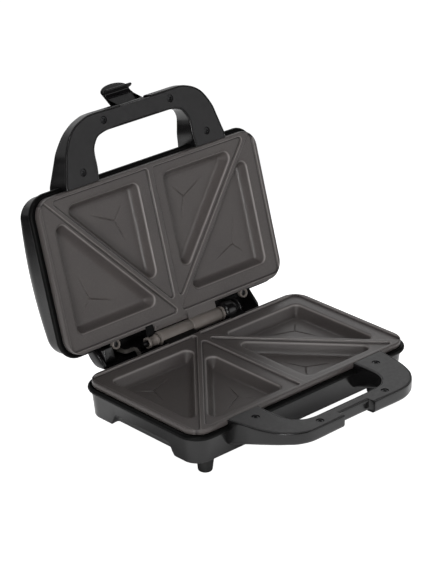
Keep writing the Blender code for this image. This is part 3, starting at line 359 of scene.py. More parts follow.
# %% Rings and the surfaces swept along them
def ring_stack(offsets, step, half_x=HALF_WIDTH, half_y=HALF_DEPTH, corner=15.0, corner_steps=14):
    """x and y of rings, one row for each offset: corner points are centre + radius * (cos, sin), and the
    straight sides between them are divided evenly, about one step apart."""
    offsets = np.asarray(offsets, float)[:, None]
    radius = np.maximum(corner + offsets, 0.3)
    angles = np.radians(np.linspace(0, 90, corner_steps + 1))
    xs, ys = [], []
    for i, (sx, sy) in enumerate(((1, 1), (-1, 1), (-1, -1), (1, -1))):
        xs.append(sx * (half_x + offsets - radius) + radius * np.cos(angles + i * math.pi / 2))
        ys.append(sy * (half_y + offsets - radius) + radius * np.sin(angles + i * math.pi / 2))
    rows_x, rows_y = [], []
    for i in range(4):
        side = 2 * (half_x - corner) if i in (0, 2) else 2 * (half_y - corner)
        share = np.linspace(0, 1, max(2, round(side / step)) + 1)[1:-1]
        j = (i + 1) % 4
        rows_x += [xs[i], xs[i][:, -1:] * (1 - share) + xs[j][:, :1] * share]
        rows_y += [ys[i], ys[i][:, -1:] * (1 - share) + ys[j][:, :1] * share]
    return np.hstack(rows_x), np.hstack(rows_y)


def swept(profile, step, height=None, **outline):
    """A closed surface: one ring for each (offset, h) of the profile; height may change h by place."""
    profile = np.asarray(profile, float)
    x, y = ring_stack(profile[:, 0], step, **outline)
    h = np.broadcast_to(profile[:, 1:2], x.shape)
    if height is not None:
        h = height(x, y, h)
    return grid(np.stack([x, y, h], -1), wrap=True)


def drawn_together(offset, h, step):
    """Two rows that close a swept surface: its ring at an offset, and the same ring with y at 0."""
    x, y = ring_stack([offset], step)
    rows = np.stack([np.vstack([x, x]), np.vstack([y, 0 * y]), np.full((2, x.shape[1]), h)], -1)
    return grid(rows, wrap=True)


def arc(centre, radius, start, end, steps):
    """Points centre + radius * (cos a, sin a) for angles in degrees."""
    angles = np.radians(np.linspace(start, end, steps + 1))
    return np.stack([centre[0] + radius * np.cos(angles), centre[1] + radius * np.sin(angles)], -1)


def bridge(start, end, count):
    """Points from start to end, both left out."""
    share = np.linspace(0, 1, count + 2)[1:-1, None]
    return np.asarray(start) * (1 - share) + np.asarray(end) * share


def block(x, y, h, corner=2.0, edge=0.8):
    """A box with rounded corners and edges, between two x, two y and two h."""
    half_x, half_y = (x[1] - x[0]) / 2, (y[1] - y[0]) / 2
    middle = -min(half_x, half_y) + 0.01
    profile = [(middle, h[0]), (-edge, h[0]), (-edge * 0.3, h[0] + edge * 0.3), (0, h[0] + edge),
               (0, h[1] - edge), (-edge * 0.3, h[1] - edge * 0.3), (-edge, h[1]), (middle, h[1])]
    points, quads = swept(profile, 6.0, half_x=half_x, half_y=half_y, corner=corner, corner_steps=5)
    return points + [sum(x) / 2, sum(y) / 2, 0], quads


def turned(profile, x, y, steps=48):
    """A round shape on an upright axis at x and y, from (radius, h) pairs: each pair becomes a circle."""
    profile = np.asarray(profile, float)
    angles = np.linspace(0, 2 * math.pi, steps, endpoint=False)
    rows = np.stack([x + profile[:, :1] * np.cos(angles), y + profile[:, :1] * np.sin(angles),
                     np.broadcast_to(profile[:, 1:2], (len(profile), steps))], -1)
    return grid(rows, wrap=True)


# %% [markdown]
# ## Cooking plates
#
# A plate's face is a height that depends on x and y. The rim, the divider and the diagonal ridges
# stay at 0. The lands between them are 1.8 mm lower, and from each land a triangular pocket goes 10
# mm further down over a concave wall. Distances to rounded triangles drive all of it, so every edge
# gets the same small rounding as a casting has. Three shallow creases meet on each pocket's floor.

# %% Triangles of one plate
RIM_WIDTH = 3.0
LAND_DEPTH = 1.8
POCKET_DEPTH = 10.0
POCKET_SLOPE = 6.0
RIDGE_REAR = np.array([5.1, 52.8])
RIDGE_FRONT = np.array([108.3, -59.7])
ridge_along = (RIDGE_FRONT - RIDGE_REAR) / np.linalg.norm(RIDGE_FRONT - RIDGE_REAR)
ridge_across = np.array([-ridge_along[1], ridge_along[0]])


def triangle(x, y, offset):
    """Corners of a right-angled triangle at (x, y) whose long side runs beside the diagonal ridge."""
    start = RIDGE_REAR + ridge_across * offset
    on_x = start + ridge_along * (x - start[0]) / ridge_along[0]
    on_y = start + ridge_along * (y - start[1]) / ridge_along[1]
    return np.array([[x, y], on_x, on_y])


lands = [triangle(2.3, RIM_WIDTH - HALF_DEPTH, -1.6),
         triangle(HALF_WIDTH - RIM_WIDTH, HALF_DEPTH - RIM_WIDTH, 1.6)]
pockets = [triangle(14.0, 11.3 - HALF_DEPTH, -4.6), triangle(HALF_WIDTH - 14.3, HALF_DEPTH - 15.0, 4.6)]
crease_centres = [np.array([38.3, -27.0]), np.array([80.2, 26.4])]
crease_lengths = (17.0, 25.0, 28.0)
CREASE_HALF = 0.65
CREASE_DEPTH = 0.9


def inside_triangle(x, y, corners, radius):
    """Distance from the edge of a triangle with rounded corners, positive inside: the exact distance to
    the triangle moved in by the radius, plus the radius."""
    middle = corners.mean(0)
    edges = []
    for a, b in zip(corners, np.roll(corners, -1, 0)):
        along = (b - a) / np.linalg.norm(b - a)
        normal = np.array([-along[1], along[0]])
        if (middle - a) @ normal < 0:
            normal = -normal
        edges.append((a + normal * radius, along, normal))
    tips = []
    for (a, u, _), (b, v, _) in zip([edges[-1]] + edges[:-1], edges):
        reach = ((b - a)[0] * v[1] - (b - a)[1] * v[0]) / (u[0] * v[1] - u[1] * v[0])
        tips.append(a + u * reach)
    nearest = np.full(x.shape, 1e9)
    within = np.full(x.shape, 1e9)
    for i, (a, b) in enumerate(zip(tips, tips[1:] + tips[:1])):
        run = b - a
        share = np.clip(((x - a[0]) * run[0] + (y - a[1]) * run[1]) / (run @ run), 0, 1)
        nearest = np.minimum(nearest, np.hypot(x - a[0] - share * run[0], y - a[1] - share * run[1]))
        start, _, normal = edges[i]
        within = np.minimum(within, (x - start[0]) * normal[0] + (y - start[1]) * normal[1])
    return np.where(within > 0, within, -nearest) + radius


def ease(t):
    """0 below 0, 1 above 1 and smooth between."""
    t = np.clip(t, 0, 1)
    return t * t * (3 - 2 * t)


def bowl(t):
    """A pocket wall's fall over its width: a quarter sine, steep at the top and level at the floor, whose
    top edge is rounded by taking t as the mean of t and its softened size."""
    soft = (t + np.sqrt(t * t + 0.012)) / 2
    return np.sin(np.clip(soft, 0, 1) * math.pi / 2)


def each_crease():
    """Centre, unit direction and length of every crease in one half of a plate."""
    for pocket, centre in zip(pockets, crease_centres):
        for corner, length in zip(pocket, crease_lengths):
            run = (corner - centre) / np.linalg.norm(corner - centre)
            yield centre, run, length


def face_height(x, y):
    """How far a plate's face lies below its rim at x and y, the same on both sides of the middle."""
    x = np.abs(x)
    depth = np.zeros(x.shape)
    for land, pocket in zip(lands, pockets):
        depth = depth + LAND_DEPTH * ease((inside_triangle(x, y, land, 3.0) + 0.1) / 0.9)
        depth = depth + POCKET_DEPTH * bowl(inside_triangle(x, y, pocket, 6.0) / POCKET_SLOPE)
    for centre, run, length in each_crease():
        along = (x - centre[0]) * run[0] + (y - centre[1]) * run[1]
        aside = np.abs((x - centre[0]) * run[1] - (y - centre[1]) * run[0])
        fade = ease((along + 0.4) / 0.8) * ease((length - along) / (0.7 * length))
        depth = depth + CREASE_DEPTH * fade * np.clip(1 - aside / CREASE_HALF, 0, 1)
    return depth


def wanted_size(x, y):
    """How long an edge of the mesh may be at x and y: short beside a land's edge, a pocket's rim and a
    crease, and longer with the distance from them."""
    x = np.abs(x)
    size = np.full(x.shape, 3.0)
    for land, pocket in zip(lands, pockets):
        from_edge = np.abs(inside_triangle(x, y, land, 3.0) - 0.35)
        size = np.minimum(size, 0.32 + 0.7 * np.maximum(from_edge - 0.7, 0))
        inside = inside_triangle(x, y, pocket, 6.0)
        size = np.minimum(size, 0.38 + 0.5 * np.maximum(np.abs(inside - 0.3) - 0.9, 0))
        size = np.where((inside > 0) & (inside < POCKET_SLOPE + 0.5), np.minimum(size, 1.0), size)
    for centre, run, length in each_crease():
        along = (x - centre[0]) * run[0] + (y - centre[1]) * run[1]
        aside = (x - centre[0]) * run[1] - (y - centre[1]) * run[0]
        past = np.maximum(np.maximum(-along, along - length), 0)
        size = np.minimum(size, 0.28 + 0.7 * np.maximum(np.hypot(aside, past) - 0.8, 0))
    return size


print("inner pocket corners", pockets[0].round(1).tolist())

# %% [markdown]
# ### Hinge barrels
#
# The hinge's knuckles are cast with the plates. Each is a round barrel turned on the hinge's axis,
# with small steps at its ends that catch the light, and a web that joins it to the plate. The web is
# a teardrop in section, level with the plate's face, and is swept along x. It ends 0.2 mm under the
# barrel's surface.

# %% Barrels, webs and the flange
HINGE_Y = HALF_DEPTH + HINGE_BACK
HINGE_H = -0.3
KNUCKLE = 6.0
WEB = 3.6
WEB_MIDDLE = (HINGE_Y - 2.5, 0.8)
BARRELS = {"lower": ((-29.8, 5.5), (41.2, 59.6)), "upper": ((5.9, 38.8),)}
FLANGE = (-30.4, 6.2)


def knuckle_section(radius):
    """The teardrop: from the plate along its face, round the barrel and back under the web."""
    start = -180 - math.degrees(math.asin(HINGE_H / radius))
    end = math.degrees(math.pi - math.asin(min(1.0, (WEB - HINGE_H) / radius)))
    around = arc((HINGE_Y, HINGE_H), radius, start, end, 40)
    root = HALF_DEPTH - 2.5
    return np.vstack([[(root, 0.05)], bridge((root, 0.05), around[0], 3), around,
                      bridge(around[-1], (root, WEB), 3), [(root, WEB)]])


def along_x(section, stations, centre):
    """A section in (y, h) swept along x. A station is x and how far the section is drawn in there; the
    ends close on a centre point."""
    section = np.asarray(section, float)
    centre = np.asarray(centre, float)
    away = section - centre
    size = np.linalg.norm(away, axis=1, keepdims=True)
    rows = []
    for x, drawn in stations:
        shape = centre + away * (1 - drawn / np.maximum(size, drawn + 1e-6))
        rows.append(np.column_stack([np.full(len(shape), x), shape]))
    first = np.column_stack([np.full(len(section), stations[0][0]), np.tile(centre, (len(section), 1))])
    last = first.copy()
    last[:, 0] = stations[-1][0]
    return grid(np.stack([first] + rows + [last]), wrap=True)


def round_hinge(profile, steps=40):
    """A round shape on the hinge's own axis, from (radius, x) pairs: each pair becomes a circle."""
    profile = np.asarray(profile, float)
    angles = np.linspace(0, 2 * math.pi, steps, endpoint=False)
    rows = np.stack([np.broadcast_to(profile[:, 1:2], (len(profile), steps)),
                     HINGE_Y + profile[:, :1] * np.cos(angles), HINGE_H + profile[:, :1] * np.sin(angles)], -1)
    return grid(rows, wrap=True)


def knuckles(half):
    """Each barrel as a closed turned shape in the paler coating, a painted highlight, and its web, coated in the
    upper half and in painted black shade in the lower, and the upper half's flange in front of the lower barrel."""
    patches = []
    for start, end in BARRELS[half]:
        ends = [(start + 0.8, 0.2), (end - 0.8, 0.2)]
        web = along_x(knuckle_section(KNUCKLE - 0.2), ends, WEB_MIDDLE)
        left = [(0.0, start), (KNUCKLE - 1.0, start), (KNUCKLE - 0.3, start + 0.4), (KNUCKLE, start + 0.9)]
        right = [(KNUCKLE, end - 0.9), (KNUCKLE - 0.3, end - 0.4), (KNUCKLE - 1.0, end), (0.0, end)]
        # Lower webs take the painted black shade; barrels take the paler coating, a painted highlight.
        patches += [web + (0 if half == "upper" else 2,), round_hinge(left + right) + (1,)]
    if half == "upper":
        patches.append(block(FLANGE, (62.5, 69.2), (0.02, 3.5), corner=0.6, edge=0.35))
    return patches


# The upper plate's small left barrel: a web, two collars and a hollow end round the pin.
end_web = along_x(knuckle_section(4.2), [(-40.2, 0.4), (-39.8, 0), (-32.2, 0), (-31.8, 0.4)], WEB_MIDDLE)
collars = round_hinge([(2.6, -31.4), (4.5, -31.4), (4.9, -31.8), (4.9, -33.4), (4.5, -33.8), (4.3, -34.0),
                       (4.3, -39.6), (4.8, -39.9), (4.8, -42.0), (4.4, -42.5), (3.5, -42.5), (3.2, -42.2),
                       (3.2, -40.6), (2.3, -40.4), (2.3, -31.4)])

# %% [markdown]
# ### The two plates
#
# Rings run from the plate's edge to its middle. An even mesh fine enough for the ridges would be
# far too heavy on the flat parts, so the rings start wide apart and an edge is halved wherever it is
# longer than the size wanted there. The skirt turns over the rounded edge and the underside closes
# the casting, so it is a solid shape from every side. The upper plate also has two ears behind it
# with a hole for a screw each.

# %% Build the plates
SKIRT = {"lower": 5.0, "upper": 6.5}
STEP = 1.8
UNDERSIDE_REACH = 63.9
UNDERSIDE_DROP = 7.5


def halve_long_edges(points, faces, rounds):
    """Halves the edges of a flat mesh that are longer than wanted_size at their middle, a few times over."""
    mesh = bpy.data.meshes.new("plan")
    mesh.from_pydata(points.tolist(), [], faces.tolist())
    work = bmesh.new()
    work.from_mesh(mesh)
    bmesh.ops.remove_doubles(work, verts=work.verts, dist=0.001)
    for _ in range(rounds):
        work.to_mesh(mesh)
        ends = np.empty(len(mesh.edges) * 2, int)
        mesh.edges.foreach_get("vertices", ends)
        first, second = points_of(mesh)[ends.reshape(-1, 2)].transpose(1, 0, 2)
        middle = (first + second) / 2
        long = np.linalg.norm(second - first, axis=1) > 1.35 * wanted_size(middle[:, 0], middle[:, 1])
        work.edges.ensure_lookup_table()
        chosen = [work.edges[i] for i in np.flatnonzero(long)]
        bmesh.ops.subdivide_edges(work, edges=chosen, cuts=1, use_grid_fill=True)
    work.to_mesh(mesh)
    work.free()
    return points_of(mesh), [list(face.vertices) for face in mesh.polygons]


def plate_patches(half):
    """The face, the rounded edge with its skirt, and the underside, which sinks by an eased step."""
    inward = np.linspace(-0.9, -HALF_DEPTH + 0.4, round(HALF_DEPTH / STEP))
    x, y = ring_stack(inward, STEP)
    x = np.vstack([x, x[-1:]])
    y = np.vstack([y, 0 * y[-1:]])
    flat_points, flat_faces = grid(np.stack([x, y, 0 * x], -1), wrap=True)
    face, face_polygons = halve_long_edges(flat_points, flat_faces, 4)
    face[:, 2] = face_height(face[:, 0], face[:, 1])
    edge = [(-0.9, 0.0), (-0.5, 0.08), (-0.2, 0.35), (0.0, 0.9), (0.0, SKIRT[half] - 0.5), (-0.3, SKIRT[half])]
    under = [(-0.3, SKIRT[half])] + [(-0.3 - UNDERSIDE_REACH * t, SKIRT[half] + UNDERSIDE_DROP * ease(t * 6))
                                     for t in np.linspace(0.05, 1, 8)]
    print(half, "plate's face:", len(face_polygons), "faces")
    return [(face, face_polygons), swept(edge, STEP), swept(under, STEP),
            drawn_together(-0.3 - UNDERSIDE_REACH, SKIRT[half] + UNDERSIDE_DROP, STEP)]


EAR_X, EAR_Y = 72.2, HALF_DEPTH + 2.4
ear = [(2.7, 0.4), (2.9, 0.1), (3.7, 0.1), (4.0, 0.4), (4.0, 3.8), (3.6, 4.2), (2.7, 4.2), (2.7, 0.4)]
ears = [turned(ear, side * EAR_X, EAR_Y) + (1,) for side in (-1, 1)]
# The ears and collars take the paler coating, a painted highlight; the small end web takes the painted black
# shade.
own_parts = {"lower": [], "upper": ears + [end_web + (2,), collars + (1,)]}
for half, body in (("lower", "base"), ("upper", "lid")):
    make_piece(f"{half}_plate_casting", plate_patches(half) + knuckles(half) + own_parts[half], half, body,
               [f"{half}_cooking_plate"], [coating, paler_coating_painted_highlight, painted_shade_black], 75)


# %% [markdown]
# ### Painted highlights on edges and painted shade in corners
#
# Light catches a casting's rounded edges and shade falls in its corners. Here both are painted into the coating's
# colour: a paler painted highlight on edges and darker painted shade in corners. Both follow from the same
# distances that made the shape. They are kept on the mesh as a number from -1 in corners to 1 on edges, which the
# coating's material reads.

# %% Paint highlights on the plates' edges and shade in their corners
def closed_again(points, half):
    """Open metres back to closed millimetres, the reverse of place for the two halves."""
    if half == "upper":
        points = turn_about_x(points, hinge, LID_OPEN)
        return (points - [0, middle_y, plate_top + 0.6 * MM]) / MM
    return (points - [0, middle_y, plate_top]) / [MM, MM, -MM]


def bump_at(distance, centre, width):
    """A smooth hill of height 1: exp of minus the squared distance from its centre over its width."""
    return np.exp(-((distance - centre) / width) ** 2)


def paint_edge_highlight_corner_shade(piece, half):
    """Writes edges - corners * (1 - edges) on each vertex of the face and skirt, and 0 elsewhere: edges is a
    painted highlight and corners is painted shade.
    """
    count = len(piece.data.vertices)
    x, y, h = closed_again(points_of(piece.data), half).T
    x = np.abs(x)
    edges = corners = np.zeros(count)
    for land, pocket in zip(lands, pockets):
        land_d = inside_triangle(x, y, land, 3.0)
        pocket_d = inside_triangle(x, y, pocket, 6.0)
        # edges: a painted highlight along the rims of lands and pockets; corners: painted shade at the foot of
        # each land's step.
        edges = np.maximum(edges, np.maximum(0.8 * bump_at(land_d, 0.0, 0.36), bump_at(pocket_d, 0.1, 0.5)))
        corners = np.maximum(corners, bump_at(land_d, 1.0, 0.5))
    face = (h < 12) & (y < HALF_DEPTH + 0.2)
    wear = np.where(face, edges - corners * (1 - edges), 0)
    mark = piece.data.attributes.new("wear", "FLOAT", "POINT")
    mark.data.foreach_set("value", wear.astype(np.float32))
    print(piece.name, "wear from", round(float(wear.min()), 2), "to", round(float(wear.max()), 2))


for half in ("lower", "upper"):
    paint_edge_highlight_corner_shade(bpy.data.objects[f"{half}_plate_casting"], half)

# %% [markdown]
# ## Base housing
#
# The wall starts at a ledge under the plate's skirt, turns round a bead, falls with a little draft
# and ends in a rim. On each side the rim is scooped away between two points, where fingers lift the
# toaster. That scoop is a blend between two profiles, whose share depends on y.

# %% The bead and the base's profile
FLOOR_H = 28.3
BEAD_RADIUS = 2.5
BEAD_OFFSET = 0.9
BEAD_H = {"lower": 7.1, "upper": 9.5}


def bead(half):
    """Profile of the ledge under the plate's skirt and the bead's arc outside it."""
    ledge = SKIRT[half] + 0.3
    round_part = arc((BEAD_OFFSET, BEAD_H[half]), BEAD_RADIUS, -78, 78, 16)
    return np.vstack([[(-2.7, ledge), (-1.0, ledge), (0.3, ledge)], round_part,
                      [(0.45, BEAD_H[half] + BEAD_RADIUS + 0.05), (0.35, BEAD_H[half] + BEAD_RADIUS + 0.45)]])


wall = np.vstack([bead("lower"), bridge((0.3, 10.0), (-1.9, 28.4), 8)])
plain_rim = np.array([(-1.95, 29.2), (-2.05, 30.3), (-2.4, 30.9), (-3.0, 31.1), (-5.4, 30.6), (-6.0, 30.3),
                      (-6.5, 29.4), (-7.3, FLOOR_H), (-9.0, FLOOR_H)])
scooped_rim = np.array([(-1.1, 19.6), (-1.3, 20.5), (-1.9, 21.1), (-2.8, 21.7), (-4.1, 24.2), (-4.9, 26.1),
                        (-5.9, 27.6), (-7.2, FLOOR_H), (-9.0, FLOOR_H)])
floor_rows = np.array([(-9.0 - 55.4 * t, FLOOR_H) for t in np.linspace(0.05, 1, 6)])
ARCH = (-38.5, 35.0)
HOUSING_STEP = 1.5


def base_surface():
    """Rows from the ledge down to the floor's middle. In a scoop, offset and h of the lower rows move
    from the plain rim to the scooped one."""
    plain = np.vstack([wall, plain_rim, floor_rows])
    last_wall = len(wall)
    scooped = plain.copy()
    scooped[last_wall:last_wall + len(plain_rim)] = scooped_rim
    low_wall = np.arange(len(bead("lower")), last_wall)
    share_down = np.linspace(0, 1, len(low_wall) + 1)[1:, None]
    top = np.array([0.3, 10.0])
    scooped[low_wall] = top * (1 - share_down) + np.array([-1.0, 18.9]) * share_down
    px, py = ring_stack(plain[:, 0], HOUSING_STEP)
    sx, sy = ring_stack(scooped[:, 0], HOUSING_STEP)
    side = (np.abs(px[:1]) > HALF_WIDTH - 6) & (np.abs(py[:1]) < HALF_DEPTH - 14)
    share = ease((py[:1] - ARCH[0]) / 7) * ease((ARCH[1] - py[:1]) / 7) * side
    x = px + (sx - px) * share
    y = py + (sy - py) * share
    h = plain[:, 1:] + (scooped[:, 1:] - plain[:, 1:]) * share
    return np.stack([x, y, h], -1)


outer = base_surface()
lip_rows = len(bead("lower")) - 2
closing = np.stack([outer[-1], outer[-1] * [1, 0, 1]])
inner_profile = np.vstack([[(-2.7, 5.3)], [(-2.7, 9.7), (-3.8, 17.0), (-10.8, 24.3)],
                           [(-10.8 - 53.6 * t, 24.3) for t in np.linspace(0.1, 1, 4)]])
inner = [swept(inner_profile, HOUSING_STEP), drawn_together(*inner_profile[-1], HOUSING_STEP)]
shelf = block((-70, 70), (61.0, 80.8), (11.2, 27.5), corner=3.0)


def hood(stations):
    """A cover over the front and top of the right barrel: in each section an arc of the station's radius
    from 62 to 196 degrees about the hinge, and an arc just under the barrel's surface back again."""
    angles = np.radians(np.linspace(62, 196, 30))
    rows = []
    for x, radius in stations:
        y = np.concatenate([HINGE_Y + radius * np.cos(angles), HINGE_Y + 5.5 * np.cos(angles[::-1])])
        h = np.concatenate([HINGE_H - radius * np.sin(angles), HINGE_H - 5.5 * np.sin(angles[::-1])])
        rows.append(np.column_stack([np.full(len(y), x), y, h]))
    rows = np.stack(rows)
    end_face = [list(range(rows.shape[1]))]
    return [grid(rows, wrap=True), (rows[0], end_face), (rows[-1], end_face)]


bearing = hood([(42.2, 6.6), (42.5, 7.5), (43.2, 8.3), (45.2, 8.7), (48.5, 8.7), (51.5, 8.5), (53.8, 8.0),
                (55.4, 7.1), (56.0, 6.2), (57.3, 6.1), (57.4, 8.1), (57.7, 8.4), (58.2, 8.4), (58.5, 8.1)])
# The bead's rows take the painted black shade.
skin = [grid(outer[:lip_rows], wrap=True) + (1,), grid(outer[lip_rows - 1:], wrap=True),
        grid(closing, wrap=True)]
make_piece("base_moulding", bearing + skin + inner + [shelf], "lower", "base", ["base_housing"],
           [black_abs, painted_shade_black], 50)

# %% [markdown]
# ## Lid housing
#
# The lid has the same bead. Its wall turns over a broad shoulder into a shallow dome, which also
# falls off towards the front and the back. Behind it a rounded fairing covers the hinge.

# %% The lid's profile and dome
SHOULDER_H = 26.0 * 0.935
SHOULDER = 11.2
DOME_FOOT = 12.0


def dome(x, y, h):
    """Rows inside the shoulder rise by 2.5 mm times (1 - u^2)(1 - v^2), where u and v run from the middle to
    the shoulder's edge. Everything above the bead is scaled by 1.10 in the middle and by 0.42 v^2 less
    towards the front and the rear."""
    inner_x, inner_y = HALF_WIDTH - SHOULDER - 0.4, HALF_DEPTH - SHOULDER - 0.4
    u = np.clip(np.abs(x) / inner_x, 0, 1)
    v = np.clip(np.abs(y) / inner_y, 0, 1)
    raised = h + 2.5 * (1 - u ** 2) * (1 - v ** 2) * (h > 30)
    scale = 1.10 - 0.42 * (y / HALF_DEPTH) ** 2
    return np.where(raised > DOME_FOOT, DOME_FOOT + (raised - DOME_FOOT) * scale, raised)


def lid_rows(thickness):
    """Profile from the bead up the wall, round the shoulder and inwards, moved in by a thickness. The
    shoulder is a quarter circle pressed to 0.97 of its height."""
    shoulder = arc((0.5 - SHOULDER, SHOULDER_H), SHOULDER - thickness, 0, 90, 14)
    shoulder[:, 1] = SHOULDER_H + (shoulder[:, 1] - SHOULDER_H) * 0.97
    edge = shoulder[-1]
    flat = [(edge[0] + (-64.4 - edge[0]) * t, edge[1]) for t in np.linspace(0.06, 1, 16)]
    return np.vstack([bridge((0.2 - thickness, 12.5), shoulder[0], 5), shoulder, flat])


def closed_at_middle(profile, step):
    """A swept and domed surface whose last ring is drawn together on the long axis."""
    points, quads = drawn_together(*profile[-1], step)
    x, y, h = points.T
    return [swept(profile, step, dome), (np.stack([x, y, dome(x, y, h)], -1), quads)]


lid_outer = np.vstack([bead("upper")[lip_rows - 1:], lid_rows(0.0)])
# The lid's bead takes the painted black shade.
lid_lip = swept(bead("upper")[:lip_rows], HOUSING_STEP) + (1,)
lid_inner = np.vstack([[(-2.7, SKIRT["upper"] + 0.3), (-2.7, 12.0)], lid_rows(2.6)])

fairing_outer = np.array([(64.0, 20.5), (66.5, 19.6), (68.8, 19.0), (71.0, 18.2), (74.1, 16.9), (76.8, 15.1),
                          (79.1, 13.4), (80.9, 11.3), (82.0, 9.0), (82.6, 6.5), (83.1, 3.8), (83.4, 1.0)])
fairing_inner = np.array([(81.6, 1.0), (81.2, 3.8), (80.6, 6.2), (79.9, 8.2), (78.9, 10.0), (77.3, 11.7),
                          (75.2, 13.3), (72.9, 14.8), (70.3, 15.9), (68.0, 16.6), (66.0, 17.2), (64.0, 17.8)])
fairing_section = np.vstack([fairing_outer, fairing_inner])
fairing_full = np.vstack([fairing_outer, [(80.2, 1.0), (64.0, 10.8)]])


def swept_section(section, stations):
    """A closed section in (y, h) swept along x; a station is x and a scale about the section's middle."""
    section = np.asarray(section, float)
    middle = section.mean(0)
    rows = [np.column_stack([np.full(len(section), x), middle + (section - middle) * scale])
            for x, scale in stations]
    return grid(np.stack(rows), wrap=True)


def end_wall(x_in, x_out):
    """The fairing's end: its whole section, drawn in at its outer edge and closed."""
    step = x_out - x_in
    return swept_section(fairing_full, [(x_in, 0.001), (x_in, 1.0), (x_in + step * 0.6, 1.0),
                                        (x_in + step * 0.85, 0.97), (x_out, 0.91), (x_out, 0.001)])


lid_patches = [lid_lip] + closed_at_middle(lid_outer, HOUSING_STEP) + closed_at_middle(lid_inner, 3.0)
lid_patches.append(block((-85.6, -75.5), (67.5, 79.0), (1.4, 14.5), corner=1.5, edge=0.8))
lid_patches += [swept_section(fairing_section, [(-87.4, 1.0), (84.8, 1.0)]),
                end_wall(-86.8, -89.4), end_wall(84.2, 86.6)]
make_piece("lid_moulding", lid_patches, "upper", "lid", ["lid_housing"],
           [black_abs, painted_shade_black], 50)

# %% [markdown]
# ## Handles
#
# Each handle is a loop: an outer curve and an inner curve that run from one root round the grip to
# the other. A section is carried along them, with its points set in by so many millimetres from
# the outer or the inner curve. Near the roots the section grows deeper, where the handle flows
# into the housing's wall. The latch's notch is a step in the outer curve.

# %% Curves of the two handles
def smooth_through(points, steps):
    """Catmull-Rom curve through points: on each stretch a cubic whose slopes are half the difference of
    the neighbours."""
    points = np.asarray(points, float)
    padded = np.vstack([2 * points[0] - points[1], points, 2 * points[-1] - points[-2]])
    t = np.linspace(0, 1, steps, endpoint=False)[:, None, None]
    a, b, c, d = padded[:-3], padded[1:-2], padded[2:-1], padded[3:]
    curve = 0.5 * (2 * b + (c - a) * t + (2 * a - 5 * b + 4 * c - d) * t ** 2 + (3 * b - a - 3 * c + d) * t ** 3)
    return np.vstack([curve.transpose(1, 0, 2).reshape(-1, points.shape[1]), points[-1:]])


LOWER_STATIONS = [(87.0, -65.2, 54.0, -65.2), (86.5, -69.0, 54.0, -69.0), (85.0, -77.0, 54.2, -77.0),
                  (83.3, -87.0, 54.0, -86.0), (80.5, -97.0, 52.6, -93.6), (75.5, -107.5, 49.4, -99.6),
                  (67.5, -116.2, 44.2, -104.3), (61.0, -120.0, 39.4, -106.2), (54.0, -122.3, 34.0, -107.1),
                  (45.0, -123.0, 29.0, -107.2), (32.0, -123.0, 23.0, -107.2), (17.4, -123.0, 17.4, -107.2)]
UPPER_STATIONS = [(87.6, -65.2, 53.4, -65.2), (87.4, -69.0, 53.0, -69.0), (85.4, -76.5, 52.2, -77.0),
                  (83.0, -85.5, 52.2, -85.6), (80.2, -95.0, 51.0, -92.0), (73.3, -106.6, 46.2, -98.4),
                  (65.5, -113.2, 40.6, -100.7), (55.7, -117.2, 34.5, -101.7), (48.0, -118.5, 30.0, -101.8),
                  (34.0, -118.5, 23.0, -101.8), (17.4, -118.5, 17.4, -101.8)]
NOTCH_BACK = {"lower": -116.6, "upper": -111.4}


def handle_curves(half, notched):
    """Outer and inner curve as two arrays of (x, y), from the right root to the left one."""
    stations = LOWER_STATIONS if half == "lower" else UPPER_STATIONS
    side = smooth_through(stations, 7)
    front = side[-1, 1]
    inner = side[-1, 3]
    back = NOTCH_BACK[half] if notched else front
    notch = [(17.1, front + 0.1 * notched, 17.1, inner), (17.0, back - 0.3 * notched, 17.0, inner),
             (16.7, back, 16.7, inner), (10.0, back, 10.0, inner), (0.0, back, 0.0, inner)]
    right = np.vstack([side, notch])
    left = (right * [-1, 1, -1, 1])[-2::-1]
    both = np.vstack([right, left])
    return both[:, :2], both[:, 2:]


GRIP_DEPTH = {"lower": 10.9, "upper": 11.2}
ROOT_START = {"lower": -114.0, "upper": -112.0}
ROOT_GROWTH = {"lower": 11.8, "upper": 13.8}
ROOT_POWER = {"lower": 1.5, "upper": 1.0}


def root_depth(y, half):
    """How much deeper than along the grip the handle's underside lies: a growth times a power of the way
    from where the root starts to the housing's wall."""
    way = np.clip((y - ROOT_START[half]) / (-65.0 - ROOT_START[half]), 0, 1)
    return ROOT_GROWTH[half] * way ** ROOT_POWER[half]


def carried(section, outer, inner, half):
    """A section of (side, inset, h, follows) carried along both curves: side 0 counts the inset from the
    outer curve and side 1 from the inner one, and follows is the share of the root's extra depth."""
    section = np.asarray(section, float)
    width = np.linalg.norm(inner - outer, axis=1)[:, None]
    share = np.where(section[:, 0] == 0, section[:, 1] / width, 1 - section[:, 1] / width)[..., None]
    plan = outer[:, None] * (1 - share) + inner[:, None] * share
    h = section[:, 2] + section[:, 3] * root_depth(outer[:, 1:2], half)
    rows = np.concatenate([plan, h[..., None]], -1)
    for end in (0, -1):
        depth = rows[end, :, 2]
        reach = np.clip((depth - 9.8) / 18.7, 0, 1) * (2.0 if half == "lower" else 0.4)
        rows[end, :, 1] = np.where(depth > 9.8, -HALF_DEPTH + 0.4 + reach, -HALF_DEPTH - 0.35)
    return rows


def capped(rows):
    """Carried rows with both ends closed on their middle."""
    first = np.repeat(rows[:1].mean(1, keepdims=True), rows.shape[1], 1)
    last = np.repeat(rows[-1:].mean(1, keepdims=True), rows.shape[1], 1)
    return grid(np.concatenate([first, rows, last]), wrap=True)


# %% Shells and covers
def edge_rows(side, radius, bottom):
    """The rounded lower edge of a shell on one side: inset radius - radius cos a, depth up to the bottom."""
    angles = np.radians(np.linspace(0, 90, 7))
    inset = radius - radius * np.cos(angles)
    h = bottom - radius + radius * np.sin(angles)
    return [(side, i, depth, 1.0) for i, depth in zip(inset, h)]


def both_sides(outer_side):
    """The outer side's points of a section, and the same points backwards on the inner side."""
    return outer_side + [(1, *point[1:]) for point in reversed(outer_side)]


